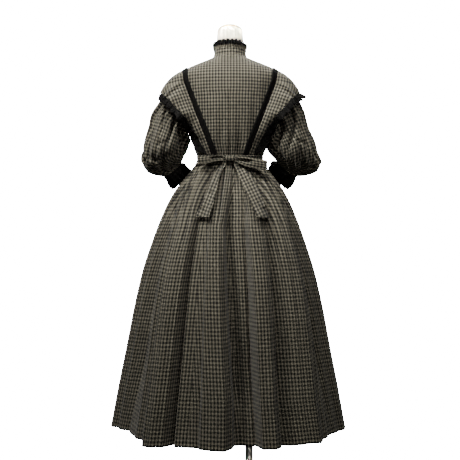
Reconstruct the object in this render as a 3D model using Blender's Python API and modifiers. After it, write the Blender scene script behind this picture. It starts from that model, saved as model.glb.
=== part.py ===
"""Checked cotton dress with a sash bow, on a limbless dress form that stands on a pole.

Metres, +Z up. The floor is z = 0 and the origin lies on it, under the middle of the waist.
The dress faces -Y: its back, with the bow, is towards +Y, and its own left side is +X.
Angles run round the body in degrees, from the middle of the back towards +X.
"""
import math
from collections import namedtuple

import bmesh
import bpy
from mathutils import Matrix, Vector
from mathutils.bvhtree import BVHTree

SEAM = 0.0003
COTTON = 0.0015
LACE = 0.0012
BRAID = 0.0012

WAIST_Z = 1.150
HEM_Z = 0.200
UP = Vector((0, 0, 1))

# One row of the body: its height at the side, back and front, its half width and its
# depth to the back and to the front. Power 2 is an ellipse, and more is squarer.
BodyRow = namedtuple("BodyRow", "side_z back_z front_z half_width back_depth front_depth power")

BODICE = (
    BodyRow(1.150, 1.150, 1.150, 0.1110, 0.080, 0.085, 2.3),
    BodyRow(1.180, 1.180, 1.180, 0.1235, 0.088, 0.094, 2.3),
    BodyRow(1.222, 1.222, 1.222, 0.1370, 0.098, 0.108, 2.3),
    BodyRow(1.265, 1.265, 1.265, 0.1460, 0.106, 0.124, 2.3),
    BodyRow(1.305, 1.305, 1.305, 0.1520, 0.111, 0.137, 2.3),
    BodyRow(1.345, 1.345, 1.345, 0.1590, 0.113, 0.138, 2.3),
    BodyRow(1.378, 1.385, 1.376, 0.1680, 0.112, 0.128, 2.3),
    BodyRow(1.405, 1.412, 1.400, 0.1780, 0.109, 0.116, 2.3),
    BodyRow(1.430, 1.438, 1.415, 0.1870, 0.104, 0.106, 2.3),
    BodyRow(1.447, 1.456, 1.428, 0.1880, 0.098, 0.097, 2.3),
    BodyRow(1.460, 1.470, 1.438, 0.1780, 0.092, 0.090, 2.2),
    BodyRow(1.469, 1.481, 1.445, 0.1650, 0.086, 0.084, 2.2),
    BodyRow(1.479, 1.491, 1.450, 0.1460, 0.080, 0.078, 2.1),
    BodyRow(1.490, 1.500, 1.454, 0.1200, 0.074, 0.072, 2.1),
    BodyRow(1.501, 1.509, 1.457, 0.0930, 0.068, 0.067, 2.0),
    BodyRow(1.510, 1.517, 1.460, 0.0720, 0.063, 0.063, 2.0),
    BodyRow(1.516, 1.523, 1.463, 0.0605, 0.058, 0.060, 2.0),
)
PANEL_COLUMNS = 16

ARMHOLE_Z = 1.385
ARMHOLE_HALF_HEIGHT = 0.056
ARMHOLE_HALF_DEPTH = 0.052
ARMHOLE_MARGIN = 0.004

# Height, half width and depth of the skirt with its folds smoothed out, and how much of
# the hem's folds and of the waist's gathers reach that height.
SkirtRow = namedtuple("SkirtRow", "z half_width depth_share fold gather")

SKIRT = (
    SkirtRow(WAIST_Z - SEAM, 0.1110, 0.74, 0.00, 0.3),
    SkirtRow(1.130, 0.1260, 0.75, 0.05, 1.0),
    SkirtRow(1.104, 0.1440, 0.79, 0.09, 1.0),
    SkirtRow(1.070, 0.1690, 0.83, 0.13, 0.8),
    SkirtRow(1.025, 0.1950, 0.89, 0.20, 0.4),
    SkirtRow(0.960, 0.2260, 0.94, 0.28, 0.1),
    SkirtRow(0.870, 0.2590, 0.97, 0.38, 0.0),
    SkirtRow(0.760, 0.2880, 0.99, 0.50, 0.0),
    SkirtRow(0.630, 0.3140, 1.00, 0.62, 0.0),
    SkirtRow(0.490, 0.3385, 1.00, 0.75, 0.0),
    SkirtRow(0.345, 0.3647, 1.00, 0.88, 0.0),
    SkirtRow(HEM_Z, 0.3900, 1.00, 1.00, 0.0),
)
HEM_RADIUS = 0.390
GATHER_DEPTH = 0.004
GATHER_COLUMNS = 4
COLUMN_STEP = 6.0
HIP_FALL = 0.25
SETTLED_FALL = 0.85

# Crests and valleys of the skirt's folds: the angle where each starts at the hips, its
# angle at the hem and the hem's radius there.
FoldRow = namedtuple("FoldRow", "hip hem radius")

FOLDS_BACK = (
    FoldRow(-90, -90.0, 0.412),
    FoldRow(-85, -83.0, 0.407),
    FoldRow(-78, -75.0, 0.384),
    FoldRow(-71, -66.0, 0.372),
    FoldRow(-65, -57.9, 0.384),
    FoldRow(-62, -54.4, 0.386),
    FoldRow(-58, -50.2, 0.403),
    FoldRow(-53, -45.6, 0.414),
    FoldRow(-46, -39.7, 0.403),
    FoldRow(-39, -33.4, 0.386),
    FoldRow(-32, -27.4, 0.371),
    FoldRow(-28, -23.8, 0.399),
    FoldRow(-24, -21.0, 0.417),
    FoldRow(-16, -15.3, 0.410),
    FoldRow(-13.8, -13.6, 0.346),
    FoldRow(-10, -12.0, 0.352),
    FoldRow(1.5, -5.9, 0.335),
    FoldRow(4.0, -2.6, 0.340),
    FoldRow(6.0, -0.8, 0.389),
    FoldRow(8.5, 2.8, 0.420),
    FoldRow(12, 7.5, 0.417),
    FoldRow(15.5, 13.2, 0.412),
    FoldRow(18, 15.8, 0.390),
    FoldRow(21.5, 20.5, 0.388),
    FoldRow(26, 26.6, 0.399),
    FoldRow(28.5, 29.8, 0.366),
    FoldRow(31, 31.8, 0.424),
    FoldRow(36, 35.5, 0.445),
    FoldRow(41, 39.5, 0.444),
    FoldRow(48, 46.0, 0.400),
    FoldRow(51, 50.0, 0.381),
    FoldRow(57, 56.0, 0.383),
    FoldRow(65, 64.0, 0.366),
    FoldRow(76, 76.0, 0.363),
    FoldRow(85, 85.0, 0.394),
    FoldRow(90, 90.0, 0.418),
)
FOLDS_FRONT = (
    FoldRow(90, 90, 0.418),
    FoldRow(96, 96, 0.432),
    FoldRow(106, 106, 0.412),
    FoldRow(120, 120, 0.376),
    FoldRow(140, 140, 0.426),
    FoldRow(160, 160, 0.372),
    FoldRow(178, 178, 0.423),
    FoldRow(197, 197, 0.372),
    FoldRow(215, 215, 0.426),
    FoldRow(236, 236, 0.376),
    FoldRow(252, 252, 0.410),
    FoldRow(262, 262, 0.402),
    FoldRow(270, 270, 0.412),
)

# One ring of a sleeve: its outermost and innermost point, the middle and half of its
# depth, how far it tips to the front, and the depth of its gathers.
SleeveRow = namedtuple("SleeveRow", "outer_x outer_z inner_x inner_z mid_y half_depth rise gather")

SLEEVE = (
    SleeveRow(0.207, 1.436, 0.1575, 1.303, -0.001, 0.059, 0.00, 0.0040),
    SleeveRow(0.232, 1.404, 0.1590, 1.272, -0.003, 0.066, 0.00, 0.0060),
    SleeveRow(0.254, 1.355, 0.1570, 1.250, -0.006, 0.073, 0.00, 0.0050),
    SleeveRow(0.276, 1.310, 0.1530, 1.235, -0.009, 0.080, 0.00, 0.0030),
    SleeveRow(0.296, 1.258, 0.1470, 1.222, -0.012, 0.086, 0.02, 0.0010),
    SleeveRow(0.312, 1.200, 0.1500, 1.195, -0.017, 0.088, 0.06, 0.0010),
    SleeveRow(0.322, 1.150, 0.1640, 1.165, -0.022, 0.083, 0.12, 0.0030),
    SleeveRow(0.312, 1.122, 0.1720, 1.152, -0.026, 0.072, 0.22, 0.0060),
    SleeveRow(0.278, 1.104, 0.1770, 1.147, -0.031, 0.056, 0.30, 0.0060),
    SleeveRow(0.240, 1.099, 0.1790, 1.143, -0.036, 0.036, 0.38, 0.0015),
)
SLEEVE_COLUMNS = 28
SLEEVE_LIFT = 0.0019

CUFF_MOUTH = Vector((0.176, -0.080, 1.086))
CUFF_OUTWARD = Vector((0.033, 0.0, -0.033))
CUFF_FORWARD = Vector((0.011, -0.034, 0.011))
CUFF_COLUMNS = 26
CUFF_ROWS = 3
CUFF_WAVE = 0.0035
CUFF_SWELL = 0.005
CUFF_CLEARANCE = 0.003
BAND_SHARE = 0.97

COLLAR = (
    BodyRow(1.5163, 1.5233, 1.4633, 0.0605, 0.0580, 0.0600, 2.0),
    BodyRow(1.5320, 1.5380, 1.4790, 0.0565, 0.0545, 0.0565, 2.0),
    BodyRow(1.5460, 1.5510, 1.4940, 0.0545, 0.0520, 0.0550, 2.0),
)
COLLAR_FRILL = (
    BodyRow(1.5465, 1.5515, 1.4945, 0.0545, 0.0520, 0.0550, 2.0),
    BodyRow(1.5560, 1.5610, 1.5030, 0.0560, 0.0545, 0.0585, 2.0),
)
COLLAR_LACE = (
    BodyRow(1.5569, 1.5619, 1.5039, 0.0560, 0.0545, 0.0585, 2.0),
    BodyRow(1.5650, 1.5750, 1.5120, 0.0575, 0.0570, 0.0600, 2.0),
)
COLLAR_COLUMNS = 24
FRILL_COLUMNS = 44
FRILL_WAVES = (0.0008, 0.0022, 0.0030)

# The braid's middle line on the left side, from the waist up the back, then over the
# shoulder, where angles run from level at the back to straight up.
BraidRow = namedtuple("BraidRow", "z x")

BRAID_LINE = (
    BraidRow(1.152, 0.0485),
    BraidRow(1.168, 0.0545),
    BraidRow(1.195, 0.0645),
    BraidRow(1.222, 0.0740),
    BraidRow(1.250, 0.0845),
    BraidRow(1.280, 0.0963),
    BraidRow(1.310, 0.1080),
    BraidRow(1.338, 0.1190),
    BraidRow(1.366, 0.1295),
    BraidRow(1.392, 0.1395),
    BraidRow(1.415, 0.1475),
)
ShoulderRow = namedtuple("ShoulderRow", "degrees x")

SHOULDER_LINE = (
    ShoulderRow(8, 0.1515),
    ShoulderRow(20, 0.1540),
    ShoulderRow(32, 0.1560),
    ShoulderRow(44, 0.1575),
    ShoulderRow(56, 0.1590),
    ShoulderRow(70, 0.1603),
    ShoulderRow(90, 0.1610),
)
SHOULDER_AXIS_Z = 1.415
BRAID_WIDTH = 0.021
BRAID_LIFT = 0.0021
CAPE_LIFT = BRAID_LIFT + COTTON

# The cape that falls from the braid, a row for each of the braid's places past the first:
# where its outer edge is, and how far the edge stands off the bodice at the least.
CapeRow = namedtuple("CapeRow", "x y z stand")

CAPE = (
    CapeRow(0.0810, 0.070, 1.170, 0.0030),
    CapeRow(0.0940, 0.071, 1.196, 0.0035),
    CapeRow(0.1065, 0.071, 1.219, 0.0045),
    CapeRow(0.1200, 0.074, 1.243, 0.0065),
    CapeRow(0.1350, 0.083, 1.266, 0.0100),
    CapeRow(0.1570, 0.092, 1.293, 0.0120),
    CapeRow(0.1790, 0.098, 1.320, 0.0120),
    CapeRow(0.1970, 0.097, 1.341, 0.0120),
    CapeRow(0.2090, 0.089, 1.354, 0.0120),
    CapeRow(0.2200, 0.078, 1.364, 0.0120),
    CapeRow(0.2265, 0.069, 1.370, 0.0120),
    CapeRow(0.2320, 0.059, 1.375, 0.0120),
    CapeRow(0.2370, 0.048, 1.379, 0.0120),
    CapeRow(0.2410, 0.037, 1.383, 0.0120),
    CapeRow(0.2440, 0.026, 1.386, 0.0120),
    CapeRow(0.2465, 0.013, 1.387, 0.0120),
    CapeRow(0.2475, 0.000, 1.388, 0.0120),
)
CAPE_SPANS = 3
CAPE_BULGE = 0.022
TRIM_GAP = 0.0009
LACE_GAP = 0.0015
FRONT_DEPTH_SHARE = 1.22
CAPE_LACE_WIDTH = 0.024
LACE_FOOT_WIDTH = 0.042
LACE_FOOT_RUN = 0.20
CAPE_WAVES = 24
CAPE_WAVE_DEPTH = 0.0035

SASH_TOP_Z = 1.163
LACE_FOOT_Z = SASH_TOP_Z + 0.003

# The sash's height on the waist, with how far it stands out from the waist's ring at the
# middle of the back and at the side seam.
SashRow = namedtuple("SashRow", "z back_lift side_lift")

SASH = (
    SashRow(1.134, 0.0140, 0.0145),
    SashRow(1.149, 0.0090, 0.0060),
    SashRow(SASH_TOP_Z, 0.0100, 0.0063),
)
SASH_COLUMNS = 10

KNOT_SIZE = Vector((0.036, 0.019, 0.021))
KNOT_BACK_Y = BODICE[0].back_depth + SASH[2].back_lift + COTTON + SEAM
KNOT_CENTRE = Vector((0.0, KNOT_BACK_Y + KNOT_SIZE.y / 2, 1.1525))
KNOT_ROUNDING = 0.006

# A loop of the bow: which side it is on, where its outer end is, how far it droops, and
# half of its height at the knot and at its end.
LoopRow = namedtuple("LoopRow", "name side end_x droop knot_half end_half")

LOOPS = (
    LoopRow("bow_loop_left", 1, 0.115, 0.006, 0.0085, 0.0155),
    LoopRow("bow_loop_right", -1, 0.130, 0.023, 0.0085, 0.0215),
)
LOOP_HALF_DEPTH = 0.012
LOOP_MIDDLE_Y = KNOT_CENTRE.y + 0.004
LOOP_TURN_BACK = 0.006
LOOP_COLUMNS = 13
LOOP_OPEN_DEGREES = 14

# A tail of the sash: how low it ends, and where its middle is and its width at even steps
# from the knot down to its end.
TailPlace = namedtuple("TailPlace", "x width")
TailRow = namedtuple("TailRow", "name end_z places")

TAILS = (
    TailRow("tail_left", 0.9455, (
        TailPlace(0.0210, 0.018),
        TailPlace(0.0430, 0.021),
        TailPlace(0.0590, 0.029),
        TailPlace(0.0745, 0.039),
        TailPlace(0.0905, 0.048),
    )),
    TailRow("tail_right", 0.9435, (
        TailPlace(-0.0210, 0.020),
        TailPlace(-0.0480, 0.035),
        TailPlace(-0.0730, 0.046),
        TailPlace(-0.0930, 0.045),
        TailPlace(-0.1107, 0.042),
    )),
)
TAIL_TOP_Z = KNOT_CENTRE.z - KNOT_SIZE.z / 2 - SEAM
TAIL_TOP_Y = KNOT_CENTRE.y - 0.0015
TAIL_ROWS = 13
TAIL_LIFT = 0.0030

# The form's hips, inside the skirt, from its flat bottom up to just below the waist.
HIPS = (
    BodyRow(0.900, 0.900, 0.900, 0.152, 0.112, 0.112, 2.2),
    BodyRow(0.912, 0.912, 0.912, 0.160, 0.118, 0.118, 2.2),
    BodyRow(0.980, 0.980, 0.980, 0.162, 0.120, 0.118, 2.2),
    BodyRow(1.045, 1.045, 1.045, 0.150, 0.112, 0.108, 2.2),
    BodyRow(1.095, 1.095, 1.095, 0.127, 0.095, 0.094, 2.2),
)
# The bodice's rows that the form follows from inside, with its clearance to the cloth.
# The dress hangs on its shoulders.
FormRow = namedtuple("FormRow", "bodice_row clearance")

FORM_ROWS = (
    FormRow(0, 0.0050),
    FormRow(3, 0.0045),
    FormRow(5, 0.0045),
    FormRow(7, 0.0030),
    FormRow(8, 0.0015),
    FormRow(9, 0.0008),
    FormRow(10, 0.0005),
    FormRow(11, 0.0005),
    FormRow(12, 0.0005),
    FormRow(13, 0.0005),
    FormRow(14, 0.0005),
    FormRow(15, 0.0010),
    FormRow(16, 0.0030),
)

NECK_TOP = Vector((0.0, 0.002, 1.603))
NECK_RADIUS = 0.046
NECK_TILT = math.radians(26)
NECK_STEPS = 3
NECK_DRAW_IN = 0.45
CAP_HEIGHT = 0.0107
CAP_ROUNDING = 0.0012

POLE_X = -0.068
POLE_RADIUS = 0.014
POLE_FOOT_Z = 0.020
FLANGE_HEIGHT = 0.030
FLANGE_RADIUS = 0.045
BASE_RADIUS = 0.190
BASE_EDGE = 0.010
BOSS_RADIUS = 0.030
BOSS_HEIGHT = 0.045
ROUND_STEPS = 24

# Colour, roughness and metallic value of each finish.
FINISHES = {
    "checked_cotton": ((0.105, 0.092, 0.070), 0.90, 0.0),
    "black_lace": ((0.012, 0.011, 0.011), 0.85, 0.0),
    "black_braid": ((0.015, 0.014, 0.014), 0.70, 0.0),
    "form_cover": ((0.90, 0.86, 0.78), 0.85, 0.0),
    "gold_rim": ((0.80, 0.65, 0.36), 0.35, 1.0),
    "dark_steel": ((0.060, 0.052, 0.048), 0.40, 1.0),
}


def empty_scene():
    """Removes what the file opened with and makes the two collections."""
    for obj in list(bpy.data.objects):
        bpy.data.objects.remove(obj)
    groups = {}
    for name in ("checked_dress_on_form", "cutters"):
        groups[name] = bpy.data.collections.new(name)
        bpy.context.scene.collection.children.link(groups[name])
    return groups


def make_finishes():
    """One plain material for each finish of the dress and its form."""
    made = {}
    for name, (colour, roughness, metallic) in FINISHES.items():
        finish = bpy.data.materials.new(name)
        finish.use_nodes = True
        shader = finish.node_tree.nodes["Principled BSDF"]
        shader.inputs["Base Color"].default_value = (*colour, 1)
        shader.inputs["Roughness"].default_value = roughness
        shader.inputs["Metallic"].default_value = metallic
        made[name] = finish
    return made


GROUPS = empty_scene()
MATERIALS = make_finishes()


def add_object(name, mesh, finish):
    """Puts a finished mesh in the dress's collection, shaded smooth."""
    obj = bpy.data.objects.new(name, mesh)
    GROUPS["checked_dress_on_form"].objects.link(obj)
    mesh.materials.append(MATERIALS[finish])
    mesh.shade_smooth()
    mesh.set_sharp_from_angle(angle=math.radians(50))
    return obj


def grid_faces(rows, columns, closed):
    """Triangles of a grid of points, every square split the same way."""
    faces = []
    spans = columns if closed else columns - 1
    for row in range(rows - 1):
        for column in range(spans):
            a = row * columns + column
            b = row * columns + (column + 1) % columns
            faces.append((a, b, b + columns))
            faces.append((a, b + columns, a + columns))
    return faces


def cloth(name, rows, wall, finish, closed=False, inward=False, laid=False):
    """A wall of cloth through rows of points on its outer face, or on its inner face where
    it is laid on something. Inward says that the grid of points faces the body."""
    faces = grid_faces(len(rows), len(rows[0]), closed)
    if inward:
        faces = [face[::-1] for face in faces]
    mesh = bpy.data.meshes.new(name)
    mesh.from_pydata([point for row in rows for point in row], [], faces)
    obj = add_object(name, mesh, finish)
    solidify = obj.modifiers.new("wall", "SOLIDIFY")
    solidify.thickness = wall
    solidify.offset = 1 if laid else -1
    return obj


def surface_tree(rows, closed, inward=False):
    """The outer face of a wall of cloth, for pieces that lie on it."""
    faces = grid_faces(len(rows), len(rows[0]), closed)
    if inward:
        faces = [face[::-1] for face in faces]
    return BVHTree.FromPolygons([point for row in rows for point in row], faces)


def mirrored(points, side):
    """The same points on the wearer's left (side 1) or right (side -1)."""
    return [Vector((side * p.x, p.y, p.z)) for p in points]


def signed_power(value, power):
    return math.copysign(abs(value) ** power, value)


def body_point(row, degrees):
    """The point of a body row at an angle."""
    back = math.cos(math.radians(degrees))
    side = math.sin(math.radians(degrees))
    depth = row.back_depth if back > 0 else row.front_depth
    end_z = row.back_z if back > 0 else row.front_z
    power = 2 / row.power
    x = row.half_width * signed_power(side, power)
    y = depth * signed_power(back, power)
    z = row.side_z + (end_z - row.side_z) * abs(back)
    return Vector((x, y, z))


def round_angles(count):
    return [360 * i / count for i in range(count)]


def bodice_rows():
    angles = round_angles(2 * PANEL_COLUMNS)
    return [[body_point(row, angle) for angle in angles] for row in BODICE]


def lifted(tree, point, lift):
    """The nearest place on a surface, moved off it by lift, with the way it faces."""
    place, normal, _, _ = tree.find_nearest(point)
    return place + normal * lift, normal


def clear_of(tree, point, lift):
    """The point itself, or its nearest place lift away where it comes closer."""
    place, normal, _, _ = tree.find_nearest(point)
    if (point - place).dot(normal) >= lift:
        return point
    return place + normal * lift


def as_cutter(cutter, name):
    """Hides a solid that only cuts others, in the cutters' collection."""
    cutter.name = name
    for group in list(cutter.users_collection):
        group.objects.unlink(cutter)
    GROUPS["cutters"].objects.link(cutter)
    cutter.hide_render = True
    cutter.display_type = "WIRE"
    return cutter


def make_armhole_cutter(name, side):
    """An oval bar through the side of the bodice."""
    half_height = ARMHOLE_HALF_HEIGHT - ARMHOLE_MARGIN
    half_depth = ARMHOLE_HALF_DEPTH - ARMHOLE_MARGIN
    bpy.ops.mesh.primitive_cylinder_add(vertices=ROUND_STEPS, radius=1, depth=0.14)
    cutter = bpy.context.object
    scale = Matrix.Diagonal((half_height, half_depth, 1, 1))
    turn = Matrix.Rotation(math.radians(90), 4, "Y")
    place = Matrix.Translation((side * 0.18, 0, ARMHOLE_Z))
    cutter.data.transform(place @ turn @ scale)
    return as_cutter(cutter, name)


def make_seam_cutter(name, side):
    """A block that fills the other half of the dress, up to the seam's middle line."""
    bpy.ops.mesh.primitive_cube_add(size=2)
    cutter = bpy.context.object
    place = Matrix.Translation((0, -side * (1 - SEAM / 2), 1))
    cutter.data.transform(place)
    return as_cutter(cutter, name)


def make_cutters():
    return {
        "armholes": [make_armhole_cutter("armhole_left", 1), make_armhole_cutter("armhole_right", -1)],
        "back": make_seam_cutter("back_seams", 1),
        "front": make_seam_cutter("front_seams", -1),
    }


def cut_away(obj, cutter):
    cut = obj.modifiers.new("cut", "BOOLEAN")
    cut.operation = "DIFFERENCE"
    cut.object = cutter


def make_bodice(cutters):
    """Back and front, joined at the sides and shoulders, with open armholes."""
    rows = bodice_rows()
    for half in ("back", "front"):
        panel = cloth(f"bodice_{half}", rows, COTTON, "checked_cotton", closed=True, inward=True)
        cut_away(panel, cutters[half])
        for cutter in cutters["armholes"]:
            cut_away(panel, cutter)
    return surface_tree(rows, closed=True, inward=True)


Column = namedtuple("Column", "waist hip hem swell index")


def skirt_columns():
    """Columns of points down the skirt, on every fold and at most a step apart."""
    columns = []
    for folds in (FOLDS_BACK, FOLDS_FRONT):
        half = []
        for here, there in zip(folds, folds[1:]):
            steps = math.ceil((there.hem - here.hem) / COLUMN_STEP)
            for i in range(steps):
                share = i / steps
                ease = (1 - math.cos(math.pi * share)) / 2
                hip = here.hip + (there.hip - here.hip) * share
                hem = here.hem + (there.hem - here.hem) * share
                swell = here.radius + (there.radius - here.radius) * ease - HEM_RADIUS
                half.append((hip, hem, swell))
        start = folds[0].hem
        for i, column in enumerate(half):
            columns.append(Column(start + 180 * i / len(half), *column, len(columns)))
    return columns


def skirt_angle(row, column):
    """A fold runs from its place at the waist, past the hips, to its place at the hem."""
    fall = (WAIST_Z - row.z) / (WAIST_Z - HEM_Z)
    if fall < HIP_FALL:
        share = fall / HIP_FALL
        return column.waist + (column.hip - column.waist) * share
    share = (fall - HIP_FALL) / (SETTLED_FALL - HIP_FALL)
    return column.hip + (column.hem - column.hip) * min(1, share)


def skirt_point(row, column):
    """A point of the skirt, with the fold and the gather that pass there."""
    depth = row.half_width * row.depth_share
    ring = BodyRow(row.z, row.z, row.z, row.half_width, depth, depth, 2.0)
    if row is SKIRT[0]:
        ring = BODICE[0]._replace(side_z=row.z, back_z=row.z, front_z=row.z)
    point = body_point(ring, skirt_angle(row, column))
    phase = 2 * math.pi * column.index / GATHER_COLUMNS
    gather = row.gather * GATHER_DEPTH * (1 - math.cos(phase)) / 2
    outward = Vector((point.x, point.y, 0)).normalized()
    return point + outward * (column.swell * row.fold - gather)


def make_skirt(cutters):
    """Two panels gathered into the waist, with open deep folds down to the hem."""
    columns = skirt_columns()
    rows = [[skirt_point(row, column) for column in columns] for row in SKIRT[::-1]]
    for half in ("back", "front"):
        panel = cloth(f"skirt_{half}", rows, COTTON, "checked_cotton", closed=True, inward=True)
        cut_away(panel, cutters[half])
    return surface_tree(rows, closed=True, inward=True)


def armhole_ring(body):
    """The sleeve's top edge, just off the bodice round its armhole."""
    ring = []
    for angle in round_angles(SLEEVE_COLUMNS):
        turn = math.radians(angle)
        y = ARMHOLE_HALF_DEPTH * math.sin(turn)
        z = ARMHOLE_Z + ARMHOLE_HALF_HEIGHT * math.cos(turn)
        place, normal, _, _ = body.ray_cast(Vector((0.4, y, z)), Vector((-1, 0, 0)))
        ring.append(place + normal * SLEEVE_LIFT)
    return ring


def sleeve_ring(row):
    """One ring of the puffed sleeve, its gathers as valleys."""
    outer = Vector((row.outer_x, row.mid_y, row.outer_z))
    inner = Vector((row.inner_x, row.mid_y, row.inner_z))
    middle = (outer + inner) / 2
    across = (outer - inner) / 2
    deep = Vector((0, row.half_depth, -row.rise * row.half_depth))
    ring = []
    for i, angle in enumerate(round_angles(SLEEVE_COLUMNS)):
        turn = math.radians(angle)
        spoke = across * math.cos(turn) + deep * math.sin(turn)
        depth = row.gather if i % 2 else 0
        ring.append(middle + spoke * (1 - depth / spoke.length))
    return ring


def cuff_rings(skirt):
    """Rings of the lace frill, from the sleeve's band to its mouth, clear of the skirt."""
    band = sleeve_ring(SLEEVE[-1])
    count = len(band)
    rings = []
    for step in range(CUFF_ROWS + 1):
        share = step / CUFF_ROWS
        ring = []
        for i, angle in enumerate(round_angles(CUFF_COLUMNS)):
            turn = math.radians(angle)
            start = band_point(band, angle / 360 * count)
            spoke = CUFF_OUTWARD * math.cos(turn) - CUFF_FORWARD * math.sin(turn)
            wave = CUFF_WAVE * share * (1 if i % 2 else -1)
            mouth = CUFF_MOUTH + spoke * (1 + wave / spoke.length)
            point = start.lerp(mouth, share)
            point += spoke.normalized() * CUFF_SWELL * math.sin(math.pi * share)
            ring.append(clear_near(skirt, point, CUFF_CLEARANCE))
        rings.append(ring)
    return rings


def band_point(band, position):
    """A place on the smooth oval of the sleeve's band, shrunk to fit inside its end."""
    row = SLEEVE[-1]
    outer = Vector((row.outer_x, row.mid_y, row.outer_z))
    inner = Vector((row.inner_x, row.mid_y, row.inner_z))
    turn = 2 * math.pi * position / len(band)
    deep = Vector((0, row.half_depth, -row.rise * row.half_depth))
    spoke = (outer - inner) / 2 * math.cos(turn) + deep * math.sin(turn)
    down = (CUFF_MOUTH - (outer + inner) / 2).normalized()
    return (outer + inner) / 2 + spoke * BAND_SHARE + down * TRIM_GAP


def clear_near(tree, point, lift):
    """Clear of a surface, for a point that is near it."""
    place, normal, _, distance = tree.find_nearest(point)
    if distance > 0.03:
        return point
    return clear_of(tree, point, lift)


def make_sleeves(body, skirt):
    """Puffed sleeves gathered into the armholes and bands, with black lace cuffs."""
    rings = [armhole_ring(body)] + [sleeve_ring(row) for row in SLEEVE]
    cuffs = cuff_rings(skirt)
    for name, side in (("left", 1), ("right", -1)):
        flip = side > 0
        sleeve = [mirrored(ring, side) for ring in rings]
        cuff = [mirrored(ring, side) for ring in cuffs]
        cloth(f"sleeve_{name}", sleeve, COTTON, "checked_cotton", closed=True, inward=flip)
        cloth(f"cuff_{name}", cuff, LACE, "black_lace", closed=True, inward=flip)


def neck_rings(rows, columns, waves):
    """Rings round the neck. Waves gives each ring's ripple depth."""
    rings = []
    for row, wave in zip(rows, waves):
        ring = []
        for i, angle in enumerate(round_angles(columns)):
            point = body_point(row, angle)
            outward = Vector((point.x, point.y, 0)).normalized()
            ring.append(point + outward * wave * (1 if i % 2 else -1))
        rings.append(ring)
    return rings


def make_collar():
    """A standing band with a cotton frill on it, edged with black lace."""
    stand = neck_rings(COLLAR, COLLAR_COLUMNS, (0, 0, 0))
    frill = neck_rings(COLLAR_FRILL, FRILL_COLUMNS, FRILL_WAVES[:2])
    lace = neck_rings(COLLAR_LACE, FRILL_COLUMNS, FRILL_WAVES[1:])
    cloth("collar", stand, COTTON, "checked_cotton", closed=True, inward=True)
    cloth("collar_frill", frill, LACE, "checked_cotton", closed=True, inward=True)
    cloth("collar_lace", lace, LACE, "black_lace", closed=True, inward=True)


def braid_stations(body):
    """Places down the braid's middle on the left side, with the way the bodice faces there:
    up the back and over to the top of the shoulder, then the same down the front."""
    rays = []
    for row in BRAID_LINE:
        rays.append((Vector((row.x, 1, row.z)), Vector((0, -1, 0))))
    for row in SHOULDER_LINE:
        turn = math.radians(row.degrees)
        spoke = Vector((0, math.cos(turn), math.sin(turn)))
        rays.append((Vector((row.x, 0, SHOULDER_AXIS_Z)) + spoke, -spoke))
    for start, way in rays[-2::-1]:
        rays.append((Vector((start.x, -start.y, start.z)), Vector((0, -way.y, way.z))))
    return [body.ray_cast(start, way)[:2] for start, way in rays]


def braid_edges(body):
    """The braid's inner, middle and outer lines on the left side, lifted off the bodice."""
    stations = braid_stations(body)
    lines = ([], [], [])
    for i, (place, normal) in enumerate(stations):
        before = stations[max(i - 1, 0)][0]
        after = stations[min(i + 1, len(stations) - 1)][0]
        across = (after - before).cross(normal).normalized()
        if across.x < 0:
            across = -across
        for line, share in zip(lines, (-0.5, 0, 0.5)):
            point, _ = lifted(body, place + across * BRAID_WIDTH * share, BRAID_LIFT)
            line.append(point)
    return lines


def cape_edge(body):
    """The cape's outer edge beside each place of the braid, on the left side."""
    back = [Vector((row.x, row.y, row.z)) for row in CAPE]
    front = [Vector((p.x, -p.y * FRONT_DEPTH_SHARE, p.z)) for p in back[-2::-1]]
    stands = [row.stand for row in CAPE]
    stands += stands[-2::-1]
    return [clear_of(body, point, stand) for point, stand in zip(back + front, stands)]


def cape_lines(body, braid_edge):
    """Lines across the cape from the braid to its outer edge, bulging outward."""
    edge = cape_edge(body)
    inside = braid_edge[1:-1]
    count = len(edge)
    lines = []
    for i, (inner, outer) in enumerate(zip(inside, edge)):
        start = inner + (outer - inner).normalized() * TRIM_GAP
        start = clear_of(body, start, CAPE_LIFT)
        along = inside[min(i + 1, count - 1)] - inside[max(i - 1, 0)]
        swell = along.cross(outer - inner).normalized()
        if swell.dot(lifted(body, inner, 0)[1]) < 0:
            swell = -swell
        fullness = math.sin(math.pi * i / (count - 1))
        middle = (start + outer) / 2 + swell * CAPE_BULGE * fullness
        line = []
        for span in range(CAPE_SPANS + 1):
            share = span / CAPE_SPANS
            point = start.lerp(middle, share).lerp(middle.lerp(outer, share), share)
            line.append(clear_of(body, point, CAPE_LIFT))
        lines.append(line)
    return lines


def resampled(line, count):
    """Evenly spaced points along a line of points."""
    lengths = [0]
    for here, there in zip(line, line[1:]):
        lengths.append(lengths[-1] + (there - here).length)
    made = []
    place = 0
    for i in range(count):
        target = lengths[-1] * i / (count - 1)
        while place < len(line) - 2 and lengths[place + 1] < target:
            place += 1
        share = (target - lengths[place]) / (lengths[place + 1] - lengths[place])
        made.append(line[place].lerp(line[place + 1], share))
    return made


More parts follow.
